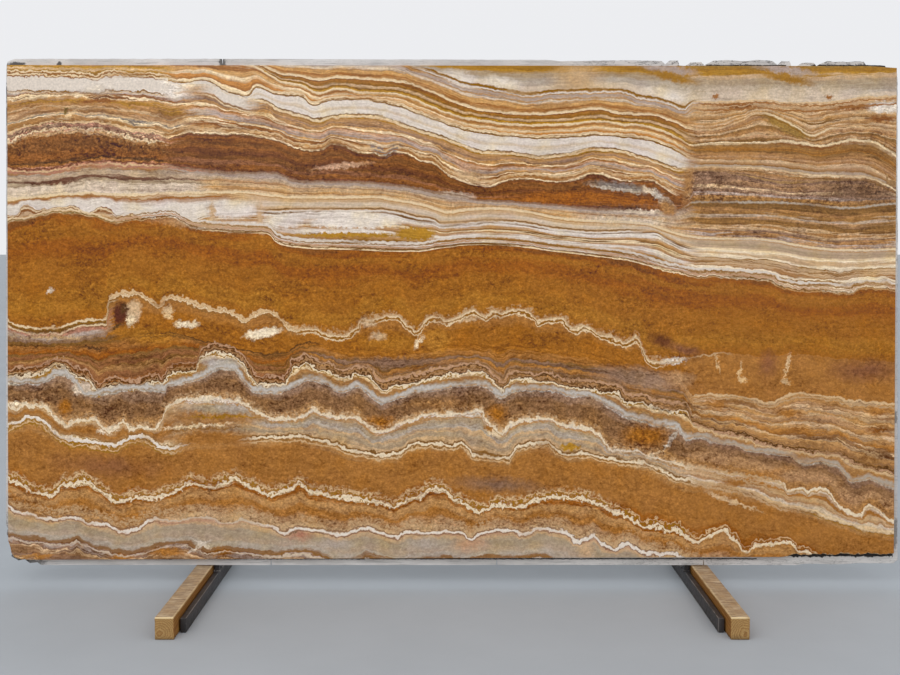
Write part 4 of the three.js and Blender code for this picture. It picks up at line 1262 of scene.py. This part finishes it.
def timber_bearer(side):
    """A sawn timber with worn arrises and slightly uneven sides, standing flat on the floor."""
    low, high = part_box(f"{side}_timber_bearer")
    bpy.ops.object.select_all(action="DESELECT")
    bpy.ops.mesh.primitive_cube_add(size=1, location=(low + high) / 2, scale=high - low)
    piece = bpy.context.object
    piece.name = f"{side}_sawn_timber"
    bpy.ops.object.transform_apply(location=True, rotation=False, scale=True)
    bpy.ops.object.mode_set(mode="EDIT")
    bpy.ops.mesh.select_all(action="SELECT")
    bpy.ops.mesh.bevel(offset=ARRIS_TIMBER, segments=3, affect="EDGES", profile=0.6)
    cut_across(piece, "y", low.y + TIMBER_CELL, high.y - TIMBER_CELL, TIMBER_CELL)
    cut_across(piece, "z", low.z + TIMBER_CELL, high.z - TIMBER_CELL / 2, TIMBER_CELL)
    cut_across(piece, "x", low.x + TIMBER_CELL, high.x - TIMBER_CELL / 2, TIMBER_CELL)
    roughen(piece, f"{side}_timber_wear", grain=0.03, depth=0.0012)
    roughen(piece, f"{side}_timber_fibres", grain=0.008, depth=0.0006)
    for vertex in piece.data.vertices:
        vertex.co.z = max(vertex.co.z, 0.0)
    finish_piece(piece, sawn_softwood(side), "sawn_softwood", f"{side}_timber_bearer")


def cut_across(piece, axis, start, end, step):
    """Cuts the whole piece by planes across one axis, a step apart."""
    normal = {"x": (1, 0, 0), "y": (0, 1, 0), "z": (0, 0, 1)}[axis]
    place = start
    while place < end:
        bpy.ops.mesh.select_all(action="SELECT")
        bpy.ops.mesh.bisect(plane_co=[place * part for part in normal], plane_no=normal)
        place += step


def steel_bar(node):
    """A bar of the stand's frame, with arrises as they come from the mill."""
    name = node.replace("cross_rail", "rail_bar") if "rail" in node else node + "_bar"
    piece = merged_copy(node, name)
    bpy.ops.mesh.select_all(action="SELECT")
    bpy.ops.mesh.bevel(offset=ARRIS_STEEL, segments=3, affect="EDGES")
    finish_piece(piece, STEEL_PAINT, "painted_steel", node)


def weld_beads():
    """Beads of weld where the bars meet: each a row of overlapping drops, laid along the joint."""
    seams = []
    for side, hand in (("left", -1), ("right", 1)):
        foot_low, foot_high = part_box(f"{side}_steel_foot")
        upright_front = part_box(f"{side}_upright")[0].y
        stay_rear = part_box(f"{side}_back_stay")[1].y
        top = foot_high.z
        upright_rear = upright_front + BAR_DEPTH / math.cos(LEAN)
        stay_front = stay_rear - BAR_DEPTH * STAY_RAKE
        for front in (upright_front, upright_rear, stay_front, stay_rear):
            seams.append((Vector((foot_low.x, front, top)), Vector((foot_high.x, front, top))))
        inner = foot_low.x if hand > 0 else foot_high.x
        for name in ("lower_cross_rail", "upper_cross_rail", "floor_cross_rail"):
            low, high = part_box(name)
            start = Vector((inner, low.y + BEAD_INSET, high.z))
            end = Vector((inner, high.y - BEAD_INSET, high.z))
            seams.append((start, end))
    bpy.ops.object.select_all(action="DESELECT")
    drops = []
    for start, end in seams:
        count = round((end - start).length / BEAD_STEP) + 1
        for number in range(count):
            spot = start.lerp(end, number / (count - 1))
            bpy.ops.mesh.primitive_uv_sphere_add(segments=10, ring_count=6, radius=BEAD_SIZE, location=spot)
            drops.append(bpy.context.object)
    for drop in drops:
        drop.select_set(True)
    bpy.context.view_layer.objects.active = drops[0]
    bpy.ops.object.join()
    piece = bpy.context.object
    piece.name = "weld_beads"
    bpy.ops.object.transform_apply(location=True, rotation=True, scale=True)
    bpy.ops.object.mode_set(mode="EDIT")
    finish_piece(piece, STEEL_PAINT, "painted_steel")


def backing_board():
    """The board of resin and glass mesh that the slab is glued to, with crumbled, chipped edges."""
    piece = merged_copy("backing_board", "mesh_backed_board")
    bpy.ops.object.mode_set(mode="OBJECT")
    shape = bmesh.new()
    shape.from_mesh(piece.data)
    rim = []
    for edge in shape.edges:
        depths = {round(in_slab(vertex.co)[1], 4) for vertex in edge.verts}
        if len(depths) == 1 and edge.calc_length() > RIM_STEP:
            rim.append(edge)
    for edge in rim:
        bmesh.ops.bisect_edges(shape, edges=[edge], cuts=int(edge.calc_length() / RIM_STEP), edge_percents={})
    large, small, through = RIM_GRAINS
    for vertex in shape.verts:
        x, depth, z = in_slab(vertex.co)
        sway = noise.noise(Vector((x, z, 0.0)) / large) + 0.6 * noise.noise(Vector((x, z, 3.0)) / small)
        depth_sway = noise.noise(Vector((x, z, depth * 90)) / through)
        broken = max(0.0, min(1.0, (x - BROKEN_FROM) / BROKEN_BLEND)) if z > 0 else 0.0
        strength = RIM_CRUMBLE + BROKEN_CRUMBLE * broken
        inward = Vector((-math.copysign(1, x) if abs(x) > SLAB_LENGTH / 2 else 0, 0, 0))
        inward += UPWARD * (-1 if z > UPPER_RIM_FROM else 1 if z < 0 else 0)
        vertex.co += inward * strength * (sway + depth_sway + 1.2) / 2
    shape.to_mesh(piece.data)
    shape.free()
    bpy.ops.object.mode_set(mode="EDIT")
    finish_piece(piece, backing_resin(), "backing_resin", "backing_board")


onyx_slab()
backing_board()
for side in ("left", "right"):
    timber_bearer(side)
STEEL_PAINT = painted_steel()
for node in list(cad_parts):
    if any(word in node for word in ("steel_foot", "upright", "back_stay", "cross_rail")):
        steel_bar(node)
weld_beads()

# ---------------------------------------------------------------- floor, light and camera


def pale_floor():
    """Trowelled concrete: matt, pale and faintly cloudy."""
    material, add, shader = new_material("pale_floor")
    place = add("TexCoord", out=3)
    clouds = add("TexNoise", {"Vector": place, "Scale": 1.2, "Detail": 8.0, "Roughness": 0.62})
    colour = add("ValToRGB", {"Fac": clouds}, stops=[
        (0.3, linear("a5abb0")), (0.5, linear("a9afb4")), (0.7, linear("adb3b8"))])
    plug(shader, {"Base Color": colour, "Roughness": 0.8})
    return material


def studio():
    """A pale floor under an even white sky, with two soft lamps in front."""
    bpy.ops.object.select_all(action="DESELECT")
    bpy.ops.mesh.primitive_plane_add(size=FLOOR_SIZE, location=(0, 0, 0))
    floor = bpy.context.object
    floor.name = "floor"
    floor.data.materials.append(pale_floor())

    world = bpy.data.worlds.new("studio")
    world.use_nodes = True
    world.node_tree.nodes["Background"].inputs["Color"].default_value = linear("f4f5f8")
    world.node_tree.nodes["Background"].inputs["Strength"].default_value = SKY_STRENGTH
    bpy.context.scene.world = world

    for name, place, size, power in (
        ("key_light", (-1.6, -3.4, 3.6), 3.0, 50),
        ("fill_light", (2.2, -3.6, 2.6), 3.0, 20),
    ):
        lamp = bpy.data.lights.new(name, "AREA")
        lamp.energy = power
        lamp.size = size
        holder = bpy.data.objects.new(name, lamp)
        bpy.context.scene.collection.objects.link(holder)
        holder.location = place
        holder.rotation_euler = (LAMP_AIM - Vector(place)).to_track_quat("-Z", "Y").to_euler()


def camera():
    """A camera that looks square at the leaning slab."""
    data = bpy.data.cameras.new("camera")
    data.sensor_width = 36.0
    data.lens = 45.0
    holder = bpy.data.objects.new("camera", data)
    bpy.context.scene.collection.objects.link(holder)
    leaning = Matrix.Rotation(-LEAN, 3, "X")
    holder.location = FACE_FOOT + leaning @ (CAMERA_AIM - Vector((0.0, CAMERA_AWAY, 0.0)))
    holder.rotation_euler = (math.pi / 2 - LEAN, 0, 0)
    bpy.context.scene.camera = holder


studio()
camera()
bpy.context.scene.view_settings.view_transform = "Standard"
